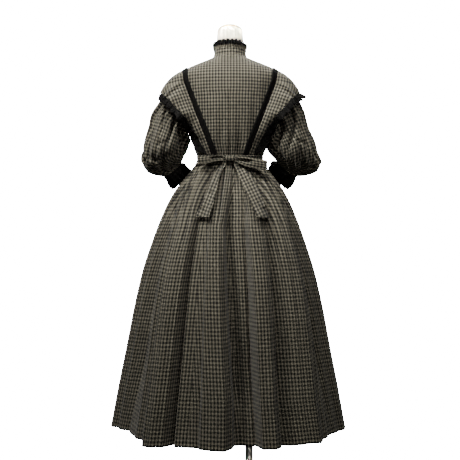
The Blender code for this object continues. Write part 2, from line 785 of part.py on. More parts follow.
def cape_lace_rows(body, lines):
    """Rows of the lace ruffle that is sewn to the cape's edge, waved at its free edge."""
    count = 2 * CAPE_WAVES + 1
    edge = resampled([line[-1] for line in lines], count)
    before = resampled([line[-2] for line in lines], count)
    rows = ([], [], [])
    for i, (near, here) in enumerate(zip(before, edge)):
        outward = (here - near).normalized()
        end = i / (count - 1)
        foot = max(0, 1 - min(end, 1 - end) / LACE_FOOT_RUN)
        width = CAPE_LACE_WIDTH + (LACE_FOOT_WIDTH - CAPE_LACE_WIDTH) * foot
        fall = (outward - UP * 0.55 * (1 - foot)).normalized()
        _, face = lifted(body, here, 0)
        ripple = (1 if i % 2 else -1) * (1 - foot)
        for row, share in zip(rows, (0, 0.5, 1)):
            point = here + fall * (LACE_GAP + width * share)
            point += face * CAPE_WAVE_DEPTH * share * ripple
            flat, _ = lifted(body, point, CAPE_LIFT)
            point = point.lerp(flat, foot * share)
            point.z = max(point.z, LACE_FOOT_Z)
            row.append(clear_of(body, point, CAPE_LIFT + CAPE_WAVE_DEPTH * share * max(ripple, 0)))
    return rows


def make_cape_trims(body):
    """On each shoulder a braid, the cape under it and the cape's black lace ruffle."""
    inner, middle, outer = braid_edges(body)
    lines = cape_lines(body, outer)
    cape = [[line[i] for line in lines] for i in range(CAPE_SPANS + 1)]
    lace = cape_lace_rows(body, lines)
    for name, side in (("left", 1), ("right", -1)):
        flip = side > 0
        braid = [mirrored(row, side) for row in (inner, middle, outer)]
        cloth(f"trim_{name}", braid, BRAID, "black_braid", inward=not flip, laid=True)
        panel = [mirrored(row, side) for row in cape]
        cloth(f"bretelle_{name}", panel, COTTON, "checked_cotton", inward=not flip)
        ruffle = [mirrored(row, side) for row in lace]
        cloth(f"bretelle_lace_{name}", ruffle, LACE, "black_lace", inward=not flip, laid=True)


def make_sash():
    """Two bands from the side seams that meet behind the knot."""
    for name, side in (("sash_left", 1), ("sash_right", -1)):
        rows = []
        for row in SASH:
            line = []
            for i in range(SASH_COLUMNS + 1):
                share = i / SASH_COLUMNS
                lift = row.back_lift + (row.side_lift - row.back_lift) * share ** 4
                ring = BODICE[0]._replace(
                    side_z=row.z, back_z=row.z,
                    half_width=BODICE[0].half_width + lift,
                    back_depth=BODICE[0].back_depth + lift,
                )
                line.append(body_point(ring, side * 90 * share))
            line[0].x = side * SEAM / 2
            rows.append(line)
        cloth(name, rows, COTTON, "checked_cotton", inward=side > 0, laid=True)


def make_knot():
    """The bow's knot, a soft block of folded cloth."""
    made = bmesh.new()
    bmesh.ops.create_cube(made, size=1)
    bmesh.ops.scale(made, vec=KNOT_SIZE, verts=made.verts)
    bmesh.ops.translate(made, vec=KNOT_CENTRE, verts=made.verts)
    mesh = bpy.data.meshes.new("bow_knot")
    made.to_mesh(mesh)
    made.free()
    knot = add_object("bow_knot", mesh, "checked_cotton")
    rounding = knot.modifiers.new("rounding", "BEVEL")
    rounding.width = KNOT_ROUNDING
    rounding.segments = 3


def make_loop(loop):
    """A ribbon that leaves the knot, turns at its outer end and comes back."""
    start_x = KNOT_SIZE.x / 2 + SEAM
    length = loop.end_x - start_x
    top = []
    bottom = []
    first = 180 - LOOP_OPEN_DEGREES
    for i in range(LOOP_COLUMNS):
        turn = math.radians(first - 2 * first * i / (LOOP_COLUMNS - 1))
        reach = (math.cos(turn) - math.cos(math.radians(first))) / (1 - math.cos(math.radians(first)))
        x = start_x + length * reach
        y = LOOP_MIDDLE_Y + LOOP_HALF_DEPTH * math.sin(turn) - LOOP_TURN_BACK * reach
        z = KNOT_CENTRE.z - loop.droop * reach ** 1.5
        half = loop.knot_half + (loop.end_half - loop.knot_half) * reach
        top.append(Vector((loop.side * x, y, z + half)))
        bottom.append(Vector((loop.side * x, y, z - half)))
    cloth(loop.name, (bottom, top), COTTON, "checked_cotton", inward=loop.side > 0)


def tail_depth(skirt, x, z):
    """The y of a tail over the skirt's back at a place, off its highest fold near there."""
    depths = [TAIL_TOP_Y]
    for step in (-0.012, 0, 0.012):
        hit, _, _, _ = skirt.ray_cast(Vector((x + step, 1, z)), Vector((0, -1, 0)))
        if hit:
            depths.append(hit.y + TAIL_LIFT)
    return max(depths)


def make_tail(tail, skirt):
    """One end of the sash, hanging over the skirt from under the knot."""
    rows = []
    for i in range(TAIL_ROWS):
        share = i / (TAIL_ROWS - 1)
        z = TAIL_TOP_Z + (tail.end_z - TAIL_TOP_Z) * share
        place = share * (len(tail.places) - 1)
        index = min(int(place), len(tail.places) - 2)
        here, there = tail.places[index], tail.places[index + 1]
        middle = here.x + (there.x - here.x) * (place - index)
        half = (here.width + (there.width - here.width) * (place - index)) / 2
        row = []
        for across in (-1, 0, 1):
            x = middle + half * across
            row.append(Vector((x, tail_depth(skirt, x, z), z)))
        rows.append(row)
    cloth(tail.name, rows[::-1], COTTON, "checked_cotton", inward=True, laid=True)


def make_bow(skirt):
    make_sash()
    make_knot()
    for loop in LOOPS:
        make_loop(loop)
    for tail in TAILS:
        make_tail(tail, skirt)


def body_facing(row_index, degrees):
    """Which way the bodice faces at one of its points."""
    low = BODICE[max(row_index - 1, 0)]
    high = BODICE[min(row_index + 1, len(BODICE) - 1)]
    step = 2
    round_way = body_point(BODICE[row_index], degrees + step) - body_point(BODICE[row_index], degrees - step)
    up_way = body_point(high, degrees) - body_point(low, degrees)
    return up_way.cross(round_way).normalized()


def form_rings():
    """Rings of the form: hips, then the body inside the bodice, then the neck."""
    angles = round_angles(2 * PANEL_COLUMNS)
    rings = [[body_point(row, angle) for angle in angles] for row in HIPS]
    for index, clearance in FORM_ROWS:
        inset = COTTON + clearance
        rings.append([body_point(BODICE[index], a) - body_facing(index, a) * inset for a in angles])
    seam = rings[-1]
    top = neck_top_ring(angles)
    for step in range(1, NECK_STEPS + 1):
        rise = step / NECK_STEPS
        draw_in = rise ** NECK_DRAW_IN
        ring = []
        for low, high in zip(seam, top):
            flat = low.lerp(high, draw_in)
            ring.append(Vector((flat.x, flat.y, low.z + (high.z - low.z) * rise)))
        rings.append(ring)
    return rings


def neck_top_ring(angles):
    """The neck's round top edge, in its tilted plane."""
    tilt = Matrix.Rotation(NECK_TILT, 3, "X")
    ring = []
    for angle in angles:
        turn = math.radians(angle)
        spoke = Vector((math.sin(turn), math.cos(turn), 0)) * NECK_RADIUS
        ring.append(NECK_TOP + tilt @ spoke)
    return ring


def make_form():
    """The limbless form, one closed body from the flat hip line to the neck's top."""
    rings = form_rings()
    columns = len(rings[0])
    faces = [face[::-1] for face in grid_faces(len(rings), columns, True)]
    last = (len(rings) - 1) * columns
    faces.append(tuple(range(columns)))
    faces.append(tuple(last + i for i in reversed(range(columns))))
    mesh = bpy.data.meshes.new("form_body")
    mesh.from_pydata([point for ring in rings for point in ring], [], faces)
    add_object("form_body", mesh, "form_cover")


def make_neck_cap():
    """The gilt cap that closes the neck."""
    made = bmesh.new()
    bmesh.ops.create_cone(
        made, cap_ends=True, segments=ROUND_STEPS,
        radius1=NECK_RADIUS, radius2=NECK_RADIUS, depth=CAP_HEIGHT,
    )
    lift = Matrix.Translation((0, 0, CAP_HEIGHT / 2 + SEAM))
    tilt = Matrix.Rotation(NECK_TILT, 4, "X")
    bmesh.ops.transform(made, matrix=Matrix.Translation(NECK_TOP) @ tilt @ lift, verts=made.verts)
    mesh = bpy.data.meshes.new("neck_cap")
    made.to_mesh(mesh)
    made.free()
    cap = add_object("neck_cap", mesh, "gold_rim")
    rounding = cap.modifiers.new("rounding", "BEVEL")
    rounding.width = CAP_ROUNDING
    rounding.segments = 2
    rounding.limit_method = "ANGLE"


def turned(name, profile, finish):
    """A piece turned about the pole's axis, from its profile, top to bottom."""
    mesh = bpy.data.meshes.new(name)
    edges = [(i, i + 1) for i in range(len(profile) - 1)]
    mesh.from_pydata([(radius, 0, z) for radius, z in profile], edges, [])
    obj = add_object(name, mesh, finish)
    obj.location = (POLE_X, 0, 0)
    screw = obj.modifiers.new("turning", "SCREW")
    screw.steps = ROUND_STEPS
    screw.render_steps = ROUND_STEPS
    screw.use_merge_vertices = True
    screw.merge_threshold = 0.00001


def make_stand():
    """A round steel base, a pole and the flange under the form's hips."""
    bottom = HIPS[0].side_z - SEAM
    bore = POLE_RADIUS + SEAM
    socket_z = bottom - FLANGE_HEIGHT / 2
    turned("stand_flange", (
        (0, bottom),
        (FLANGE_RADIUS, bottom),
        (FLANGE_RADIUS, bottom - 0.006),
        (0.024, bottom - 0.009),
        (0.022, bottom - FLANGE_HEIGHT),
        (bore, bottom - FLANGE_HEIGHT),
        (bore, socket_z),
        (0, socket_z),
    ), "dark_steel")
    turned("stand_pole", (
        (0, socket_z - SEAM),
        (POLE_RADIUS, socket_z - SEAM),
        (POLE_RADIUS, POLE_FOOT_Z),
        (0, POLE_FOOT_Z),
    ), "dark_steel")
    turned("stand_base", (
        (0, POLE_FOOT_Z - SEAM),
        (bore, POLE_FOOT_Z - SEAM),
        (bore, BOSS_HEIGHT),
        (BOSS_RADIUS - 0.003, BOSS_HEIGHT),
        (BOSS_RADIUS, BOSS_HEIGHT - 0.003),
        (BOSS_RADIUS + 0.004, 0.022),
        (BASE_RADIUS - 0.006, BASE_EDGE + 0.003),
        (BASE_RADIUS, BASE_EDGE),
        (BASE_RADIUS, 0.001),
        (BASE_RADIUS - 0.001, 0),
        (0, 0),
    ), "dark_steel")


def build():
    cutters = make_cutters()
    make_form()
    make_neck_cap()
    make_stand()
    body = make_bodice(cutters)
    skirt = make_skirt(cutters)
    make_sleeves(body, skirt)
    make_collar()
    make_cape_trims(body)
    make_bow(skirt)


build()
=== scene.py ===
"""Looks of the checked cotton dress and its limbless form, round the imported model.

Metres, +Z up, floor at z = 0. The dress faces -Y and the wearer's left is +X. Angles run
round the body in degrees, from the middle of the back towards +X.
"""

import math
from collections import namedtuple
from functools import lru_cache

import bmesh
import bpy
from mathutils import Matrix, Vector, noise
from mathutils.bvhtree import BVHTree


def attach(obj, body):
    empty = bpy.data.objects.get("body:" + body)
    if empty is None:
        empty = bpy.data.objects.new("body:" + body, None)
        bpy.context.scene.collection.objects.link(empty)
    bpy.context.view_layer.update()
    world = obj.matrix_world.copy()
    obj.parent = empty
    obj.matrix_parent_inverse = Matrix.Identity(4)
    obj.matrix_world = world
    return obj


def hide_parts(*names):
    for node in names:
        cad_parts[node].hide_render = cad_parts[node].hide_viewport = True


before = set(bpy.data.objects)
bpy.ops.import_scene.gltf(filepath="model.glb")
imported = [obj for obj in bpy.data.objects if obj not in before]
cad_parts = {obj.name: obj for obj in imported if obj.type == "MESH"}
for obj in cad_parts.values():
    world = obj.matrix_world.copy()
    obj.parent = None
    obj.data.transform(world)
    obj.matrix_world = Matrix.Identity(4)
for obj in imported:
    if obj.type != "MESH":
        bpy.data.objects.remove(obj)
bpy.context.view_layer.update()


# Camera and room. The dress stands on a pale studio floor in front of a white ground, and
# is seen level from behind. A long softbox hangs over its back, and weaker ones fill in.

CAMERA_DISTANCE = 3.741
CAMERA_HEIGHT = 0.903
LENS_MM = 82.0
SENSOR_MM = 36.0
ROOM_TINT = (1.0, 0.985, 0.96, 1)
ROOM_STRENGTH = 0.05
LAMP_TINT = (1.0, 0.985, 0.95)

camera_data = bpy.data.cameras.new("camera")
camera_data.lens = LENS_MM
camera_data.sensor_width = SENSOR_MM
camera = bpy.data.objects.new("camera", camera_data)
camera.location = (0.0, CAMERA_DISTANCE, CAMERA_HEIGHT)
camera.rotation_euler = (math.radians(90), 0.0, math.radians(180))
bpy.context.scene.collection.objects.link(camera)
bpy.context.scene.camera = camera

world = bpy.data.worlds.new("room")
bpy.context.scene.world = world
world.use_nodes = True
room = world.node_tree.nodes["Background"]
room.inputs["Color"].default_value = ROOM_TINT
room.inputs["Strength"].default_value = ROOM_STRENGTH


def softbox(name, place, aim, size, power, spread=180):
    """A soft lamp of a width and depth, aimed at a point. Spread is in degrees."""
    data = bpy.data.lights.new(name, "AREA")
    data.shape = "RECTANGLE"
    data.size, data.size_y = size
    data.energy = power
    data.color = LAMP_TINT
    data.spread = math.radians(spread)
    light = bpy.data.objects.new(name, data)
    light.location = place
    light.rotation_euler = (Vector(aim) - Vector(place)).to_track_quat("-Z", "Y").to_euler()
    bpy.context.scene.collection.objects.link(light)


softbox("key_over_back", (0.05, 0.78, 2.75), (0.0, 0.1, 1.20), (1.0, 0.3), 27)
softbox("key_left", (1.25, 1.15, 3.15), (-0.05, 0.1, 1.55), (0.4, 0.4), 14, 70)
softbox("key_right", (-1.7, 2.2, 2.9), (0.0, 0.1, 1.45), (0.5, 0.5), 5, 80)
softbox("top", (0.0, -0.6, 3.0), (0.0, 0.0, 1.2), (1.2, 1.2), 40)
softbox("fill_back", (0.5, 3.6, 1.5), (0.0, 0.0, 1.0), (1.6, 1.6), 3.5)
softbox("fill_front", (0.6, -2.8, 2.3), (0.0, 0.0, 1.1), (1.6, 1.6), 60)
softbox("neck_lamp", (0.0, 1.00, 1.66), (0.0, 0.04, 1.635), (0.10, 0.04), 0.95, 5)
softbox("floor_lamp", (0.0, 2.20, 0.03), (-0.068, 0.0, 0.07), (0.30, 0.03), 0.11, 8)

WHITE_GROUND = 40.0
FLOOR_WIDTH = 60
FLOOR_DROP = 0.001
BACKDROP_RADIUS = 28


def white_ground(name):
    """A pale ground that shines evenly in the picture."""
    ground = bpy.data.materials.new(name)
    ground.use_nodes = True
    shader = ground.node_tree.nodes["Principled BSDF"]
    shader.inputs["Base Color"].default_value = (0.86, 0.86, 0.86, 1)
    shader.inputs["Roughness"].default_value = 0.9
    shader.inputs["Emission Color"].default_value = (1, 1, 1, 1)
    shader.inputs["Emission Strength"].default_value = WHITE_GROUND
    return ground


bpy.ops.mesh.primitive_plane_add(size=FLOOR_WIDTH, location=(0, 0, -FLOOR_DROP))
floor = bpy.context.object
floor.name = "floor"
floor.data.materials.append(white_ground("pale_floor"))

bpy.ops.mesh.primitive_uv_sphere_add(radius=BACKDROP_RADIUS, segments=48, ring_count=24)
backdrop = bpy.context.object
backdrop.name = "backdrop"
backdrop.data.materials.append(white_ground("white_backdrop"))
for ground in (floor, backdrop):
    ground.visible_diffuse = False
    ground.visible_glossy = False
    ground.visible_shadow = False


# Dress form. A padded body under a cream stretch cover: its neck shows over the collar and
# its flat hips are inside the skirt. The solids' shapes stay, and get the cover's finish.


def finish(name, colour, roughness, metallic=0.0):
    """A new material, with its shader and its node tree."""
    made = bpy.data.materials.new(name)
    made.use_nodes = True
    shader = made.node_tree.nodes["Principled BSDF"]
    shader.inputs["Base Color"].default_value = (*colour, 1)
    shader.inputs["Roughness"].default_value = roughness
    shader.inputs["Metallic"].default_value = metallic
    return made, shader, made.node_tree


def joined(tree, kind, inputs, **settings):
    """Adds a node with its settings, and sets or links its inputs. Returns its first output."""
    node = tree.nodes.new(kind)
    for name, value in settings.items():
        setattr(node, name, value)
    for name, value in inputs.items():
        if isinstance(value, bpy.types.NodeSocket):
            tree.links.new(value, node.inputs[name])
        else:
            node.inputs[name].default_value = value
    return node.outputs[0]


def worked(tree, operation, first, second=0.0, clamp=False):
    """Adds one step of arithmetic."""
    return joined(tree, "ShaderNodeMath", {0: first, 1: second}, operation=operation, use_clamp=clamp)


def mixed(tree, share, first, second):
    """Adds a mix of two colours."""
    node = tree.nodes.new("ShaderNodeMix")
    node.data_type = "RGBA"
    for index, value in ((0, share), (6, first), (7, second)):
        if isinstance(value, bpy.types.NodeSocket):
            tree.links.new(value, node.inputs[index])
        else:
            node.inputs[index].default_value = value if index == 0 else (*value, 1)
    return node.outputs[2]


def stepped(tree, value, low, high):
    """Adds a smooth step of a value from 0 at low to 1 at high."""
    return joined(
        tree, "ShaderNodeMapRange",
        {"Value": value, "From Min": low, "From Max": high},
        interpolation_type="SMOOTHSTEP",
    )


def patchy(tree, place, scale, detail=2.0):
    """Adds soft noise of so many patches a metre."""
    return joined(tree, "ShaderNodeTexNoise", {"Vector": place, "Scale": scale, "Detail": detail})


def raised(tree, shader, height, distance, strength=1.0):
    """Adds relief of so many metres to a shader."""
    bump = joined(tree, "ShaderNodeBump", {"Height": height, "Distance": distance, "Strength": strength})
    tree.links.new(bump, shader.inputs["Normal"])


def object_place(tree):
    """Adds the place of each point of the object."""
    return tree.nodes.new("ShaderNodeTexCoord").outputs["Object"]


COVER_CREAM = (0.93, 0.82, 0.63)
COVER_SHADE = (0.88, 0.76, 0.57)
KNIT_PER_METRE = 900

form_cover, cover_shader, cover_tree = finish("form_cover", COVER_CREAM, 0.85)
cover_place = object_place(cover_tree)
cover_knit = patchy(cover_tree, cover_place, KNIT_PER_METRE)
cover_tone = mixed(cover_tree, patchy(cover_tree, cover_place, 14), COVER_CREAM, COVER_SHADE)
cover_tree.links.new(cover_tone, cover_shader.inputs["Base Color"])
cover_shader.inputs["Sheen Weight"].default_value = 0.15
raised(cover_tree, cover_shader, cover_knit, 0.0003, 0.4)

form_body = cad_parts["form_body"]
form_body.data.materials.clear()
form_body.data.materials.append(form_cover)
form_tree = BVHTree.FromPolygons(
    [form_body.matrix_world @ vertex.co for vertex in form_body.data.vertices],
    [tuple(polygon.vertices) for polygon in form_body.data.polygons],
)


# Neck cap. A turned wooden disc with a gilt rim closes the neck at a slant.

NECK_TOP = Vector((0.0, 0.002, 1.603))
NECK_RADIUS = 0.046
NECK_TILT = math.radians(26)
CAP_BASE = 0.0004
CAP_HEIGHT = 0.0107
TURN_STEPS = 72


def turned(profile, steps=TURN_STEPS):
    """A shape turned about the Z axis from a profile of radius and height, bottom to top."""
    made = bmesh.new()
    points = [made.verts.new((radius, 0, z)) for radius, z in profile]
    edges = [made.edges.new(pair) for pair in zip(points, points[1:])]
    bmesh.ops.spin(
        made, geom=points + edges, cent=(0, 0, 0), axis=(0, 0, 1),
        angle=math.tau, steps=steps, use_merge=True,
    )
    bmesh.ops.remove_doubles(made, verts=made.verts, dist=0.000001)
    bmesh.ops.recalc_face_normals(made, faces=made.faces)
    return made


def finished(name, made, finish_used, sharp_degrees=40):
    """Makes an object of a mesh that is in its place, shaded smooth, riding on the part."""
    mesh = bpy.data.meshes.new(name)
    made.to_mesh(mesh)
    made.free()
    mesh.materials.append(finish_used)
    mesh.shade_smooth()
    mesh.set_sharp_from_angle(angle=math.radians(sharp_degrees))
    piece = bpy.data.objects.new(name, mesh)
    bpy.context.scene.collection.objects.link(piece)
    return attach(piece, "root")


RIM_GOLD = (0.62, 0.38, 0.08)
RIM_WORN = (0.76, 0.54, 0.20)

gold_rim, gold_shader, gold_tree = finish("gold_rim", RIM_GOLD, 0.34, 0.55)
gold_place = object_place(gold_tree)
gold_wear = stepped(gold_tree, patchy(gold_tree, gold_place, 90), 0.42, 0.62)
gold_tree.links.new(mixed(gold_tree, gold_wear, RIM_GOLD, RIM_WORN), gold_shader.inputs["Base Color"])
raised(gold_tree, gold_shader, patchy(gold_tree, gold_place, 350), 0.0002, 0.5)

cap_made = turned((
    (0, CAP_BASE),
    (NECK_RADIUS - 0.0012, CAP_BASE),
    (NECK_RADIUS - 0.0003, CAP_BASE + 0.0005),
    (NECK_RADIUS, CAP_BASE + 0.0018),
    (NECK_RADIUS, CAP_HEIGHT - 0.0030),
    (NECK_RADIUS - 0.0005, CAP_HEIGHT - 0.0012),
    (NECK_RADIUS - 0.0018, CAP_HEIGHT - 0.0002),
    (NECK_RADIUS - 0.0040, CAP_HEIGHT),
    (NECK_RADIUS - 0.0052, CAP_HEIGHT - 0.0008),
    (0, CAP_HEIGHT - 0.0008),
))
cap_place = Matrix.Translation(NECK_TOP) @ Matrix.Rotation(NECK_TILT, 4, "X")
bmesh.ops.transform(cap_made, matrix=cap_place, verts=cap_made.verts)
neck_cap = finished("gilt_neck_cap", cap_made, gold_rim)
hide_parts("neck_cap")


# Stand. A steel pole screws into a flange under the form's hips and plugs into the boss of
# a heavy round base. All three are turned, with a dark satin finish.

POLE_X = -0.068
POLE_RADIUS = 0.014
POLE_FOOT_Z = 0.020
FORM_BOTTOM_Z = 0.900
JOINT_GAP = 0.0003
FLANGE_HEIGHT = 0.030
FLANGE_RADIUS = 0.045
SOCKET_Z = FORM_BOTTOM_Z - JOINT_GAP - FLANGE_HEIGHT / 2
BASE_RADIUS = 0.190
BOSS_RADIUS = 0.030
BOSS_HEIGHT = 0.045
STEEL = (0.240, 0.215, 0.195)
STEEL_RUBBED = (0.340, 0.310, 0.285)

dark_steel, steel_shader, steel_tree = finish("dark_steel", STEEL, 0.42, 0.35)
steel_place = object_place(steel_tree)
rubbed = stepped(steel_tree, patchy(steel_tree, steel_place, 45, 5.0), 0.45, 0.75)
steel_tree.links.new(mixed(steel_tree, rubbed, STEEL, STEEL_RUBBED), steel_shader.inputs["Base Color"])
raised(steel_tree, steel_shader, patchy(steel_tree, steel_place, 700), 0.0001, 0.4)


def stand_piece(name, node, profile):
    """A turned piece of the stand, about the pole's axis."""
    made = turned(profile)
    bmesh.ops.translate(made, vec=(POLE_X, 0, 0), verts=made.verts)
    piece = finished(name, made, dark_steel, 30)
    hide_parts(node)


stand_piece("pole", "stand_pole", (
    (0, POLE_FOOT_Z),
    (POLE_RADIUS - 0.001, POLE_FOOT_Z),
    (POLE_RADIUS, POLE_FOOT_Z + 0.001),
    (POLE_RADIUS, SOCKET_Z - JOINT_GAP - 0.001),
    (POLE_RADIUS - 0.001, SOCKET_Z - JOINT_GAP),
    (0, SOCKET_Z - JOINT_GAP),
))
stand_piece("flange", "stand_flange", (
    (0, SOCKET_Z),
    (POLE_RADIUS + JOINT_GAP, SOCKET_Z),
    (POLE_RADIUS + JOINT_GAP, FORM_BOTTOM_Z - FLANGE_HEIGHT),
    (0.0210, FORM_BOTTOM_Z - FLANGE_HEIGHT),
    (0.0220, FORM_BOTTOM_Z - FLANGE_HEIGHT + 0.001),
    (0.0225, FORM_BOTTOM_Z - 0.0140),
    (0.0250, FORM_BOTTOM_Z - 0.0095),
    (FLANGE_RADIUS - 0.001, FORM_BOTTOM_Z - 0.0065),
    (FLANGE_RADIUS, FORM_BOTTOM_Z - 0.0055),
    (FLANGE_RADIUS, FORM_BOTTOM_Z - JOINT_GAP),
    (0, FORM_BOTTOM_Z - JOINT_GAP),
))
stand_piece("round_base", "stand_base", (
    (0, 0),
    (BASE_RADIUS - 0.001, 0),
    (BASE_RADIUS, 0.001),
    (BASE_RADIUS, 0.0095),
    (BASE_RADIUS - 0.0015, 0.0115),
    (BASE_RADIUS - 0.0060, 0.0130),
    (BOSS_RADIUS + 0.0140, 0.0200),
    (BOSS_RADIUS + 0.0040, 0.0225),
    (BOSS_RADIUS + 0.0005, 0.0280),
    (BOSS_RADIUS, BOSS_HEIGHT - 0.003),
    (BOSS_RADIUS - 0.0008, BOSS_HEIGHT - 0.0008),
    (BOSS_RADIUS - 0.003, BOSS_HEIGHT),
    (POLE_RADIUS + JOINT_GAP, BOSS_HEIGHT),
    (POLE_RADIUS + JOINT_GAP, POLE_FOOT_Z - JOINT_GAP),
    (0, POLE_FOOT_Z - JOINT_GAP),
))


# Bodice. Back and front of checked cotton, seamed at the sides and shoulders over open
# armholes. The back is creased down its middle and gathered into the waist seam.

# A row of the body: its height at the side, back and front, its half width and its depth
# to the back and to the front. Power 2 is an ellipse, and more is squarer.
BodyRow = namedtuple("BodyRow", "side_z back_z front_z half_width back_depth front_depth power")


def rows_of(kind, table):
    """Rows of a kind, from a table of their values."""
    return [kind(*values) for values in table]


BODICE = rows_of(BodyRow, (
    (1.150, 1.150, 1.150, 0.1110, 0.080, 0.085, 2.3),
    (1.180, 1.180, 1.180, 0.1235, 0.088, 0.094, 2.3),
    (1.222, 1.222, 1.222, 0.1370, 0.098, 0.108, 2.3),
    (1.265, 1.265, 1.265, 0.1460, 0.106, 0.124, 2.3),
    (1.305, 1.305, 1.305, 0.1520, 0.111, 0.137, 2.3),
    (1.345, 1.345, 1.345, 0.1590, 0.113, 0.138, 2.3),
    (1.378, 1.385, 1.376, 0.1680, 0.112, 0.128, 2.3),
    (1.405, 1.412, 1.400, 0.1780, 0.109, 0.116, 2.3),
    (1.430, 1.438, 1.415, 0.1870, 0.104, 0.106, 2.3),
    (1.447, 1.456, 1.428, 0.1880, 0.098, 0.097, 2.3),
    (1.460, 1.470, 1.438, 0.1780, 0.092, 0.090, 2.2),
    (1.469, 1.481, 1.445, 0.1650, 0.086, 0.084, 2.2),
    (1.479, 1.491, 1.450, 0.1460, 0.080, 0.078, 2.1),
    (1.490, 1.500, 1.454, 0.1200, 0.074, 0.072, 2.1),
    (1.501, 1.509, 1.457, 0.0930, 0.068, 0.067, 2.0),
    (1.510, 1.517, 1.460, 0.0720, 0.063, 0.063, 2.0),
    (1.516, 1.523, 1.463, 0.0605, 0.058, 0.060, 2.0),
))
COTTON_WALL = 0.0012

CHECK_ACROSS = 0.0105
CHECK_DOWN = 0.0122
THREADS_PER_METRE = 1500
CHECK_STRIPE = (0.096, 0.089, 0.065)
CHECK_CROSSED = (0.222, 0.206, 0.154)
CHECK_BAND = (0.069, 0.064, 0.046)
CHECK_DARK = (0.0020, 0.0019, 0.0013)

checked_cotton, cotton_shader, cotton_tree = finish("checked_cotton", CHECK_STRIPE, 0.88)
cotton_place = object_place(cotton_tree)


def cloth_places(tree):
    """Adds the cloth's map in metres. Returns it, and its places across and down the cloth."""
    cloth_map = joined(tree, "ShaderNodeUVMap", {}, uv_map="cloth")
    parts = tree.nodes.new("ShaderNodeSeparateXYZ")
    tree.links.new(cloth_map, parts.inputs[0])
    return cloth_map, parts.outputs[0], parts.outputs[1]


def repeats(tree, distance, pitch):
    """A wave from 0 to 1 that repeats at each pitch of a distance."""
    turn = worked(tree, "MULTIPLY", distance, math.tau / pitch)
    wave = worked(tree, "SINE", turn)
    half = worked(tree, "MULTIPLY", wave, 0.5)
    return worked(tree, "ADD", half, 0.5)


_, cloth_across, cloth_down = cloth_places(cotton_tree)
stripe = stepped(cotton_tree, repeats(cotton_tree, cloth_across, CHECK_ACROSS), 0.40, 0.70)
band = stepped(cotton_tree, repeats(cotton_tree, cloth_down, CHECK_DOWN), 0.40, 0.72)
between_stripes = mixed(cotton_tree, band, CHECK_DARK, CHECK_BAND)
on_stripes = mixed(cotton_tree, band, CHECK_STRIPE, CHECK_CROSSED)
check_colour = mixed(cotton_tree, stripe, between_stripes, on_stripes)


def toned(tree, value, low, high):
    """Adds a tone from low to high as a value goes from 0 to 1."""
    return joined(tree, "ShaderNodeMapRange", {"Value": value, "To Min": low, "To Max": high})


fade_tone = toned(cotton_tree, patchy(cotton_tree, cotton_place, 9, 3.0), 0.78, 1.22)
threads = worked(
    cotton_tree, "MULTIPLY",
    repeats(cotton_tree, cloth_across, 1 / THREADS_PER_METRE),
    repeats(cotton_tree, cloth_down, 1 / THREADS_PER_METRE),
)
thread_tone = toned(cotton_tree, threads, 0.82, 1.30)
cloth_tone = worked(cotton_tree, "MULTIPLY", fade_tone, thread_tone)
cotton_tree.links.new(
    joined(
        cotton_tree, "ShaderNodeVectorMath", {0: check_colour, "Scale": cloth_tone},
        operation="SCALE",
    ),
    cotton_shader.inputs["Base Color"],
)
cotton_shader.inputs["Sheen Weight"].default_value = 0.12
cotton_shader.inputs["Sheen Roughness"].default_value = 0.5
cotton_shader.inputs["Specular IOR Level"].default_value = 0.25
cloth_relief = worked(cotton_tree, "ADD", threads, worked(cotton_tree, "MULTIPLY", stripe, 0.8))
raised(cotton_tree, cotton_shader, cloth_relief, 0.00025, 0.6)


def eased(before, here, there, after, share):
    """A value between here and there on a smooth curve through all four."""
    slope_here = (there - before) / 2
    slope_there = (after - here) / 2
    rise = there - here
    bend = slope_here + slope_there - 2 * rise
    lead = 3 * rise - 2 * slope_here - slope_there
    return here + share * (slope_here + share * (lead + share * bend))


def between(rows, place):
    """The numbers at a place between rows, on smooth curves through them."""
    last = len(rows) - 1
    place = min(max(place, 0.0), float(last))
    index = min(int(place), last - 1)
    near = [rows[min(max(index + step, 0), last)] for step in (-1, 0, 1, 2)]
    return [eased(*values, place - index) for values in zip(*near)]


def smooth(low, high, value):
    """A smooth step from 0 at low to 1 at high. Low may be the higher one."""
    share = min(max((value - low) / (high - low), 0.0), 1.0)
    return share * share * (3 - 2 * share)


def ripple(first, second, seed):
    """Soft uneven waves from -1 to 1, the same each time."""
    return noise.noise(Vector((first, second, seed)))


def signed_power(value, power):
    """A value's power, with the value's own sign."""
    return math.copysign(abs(value) ** power, value)


def body_point(row, degrees):
    """The point of a body row at an angle."""
    back = math.cos(math.radians(degrees))
    side = math.sin(math.radians(degrees))
    depth = row.back_depth if back > 0 else row.front_depth
    end_z = row.back_z if back > 0 else row.front_z
    x = row.half_width * signed_power(side, 2 / row.power)
    y = depth * signed_power(back, 2 / row.power)
    return Vector((x, y, row.side_z + (end_z - row.side_z) * abs(back)))


def bell(value):
    """1 at 0, falling smoothly to nothing past 1 or so on both sides."""
    return math.exp(-value ** 2)


def thread_places(rows, hang):
    """How far each place of a grid is along its own row, and how far it is down the cloth."""
    reach = []
    for row in rows:
        lengths = [0.0]
        for here, there in zip(row, row[1:]):
            lengths.append(lengths[-1] + (there - here).length)
        reach.append(lengths)
    falls = [[hang(point) if hang else 0.0 for point in rows[0]]]
    for above, row in zip(rows, rows[1:]):
        steps = [(here - there).length for here, there in zip(row, above)]
        if not hang:
            steps = [sum(steps) / len(steps)] * len(steps)
        falls.append([fall + step for fall, step in zip(falls[-1], steps)])
    return reach, falls


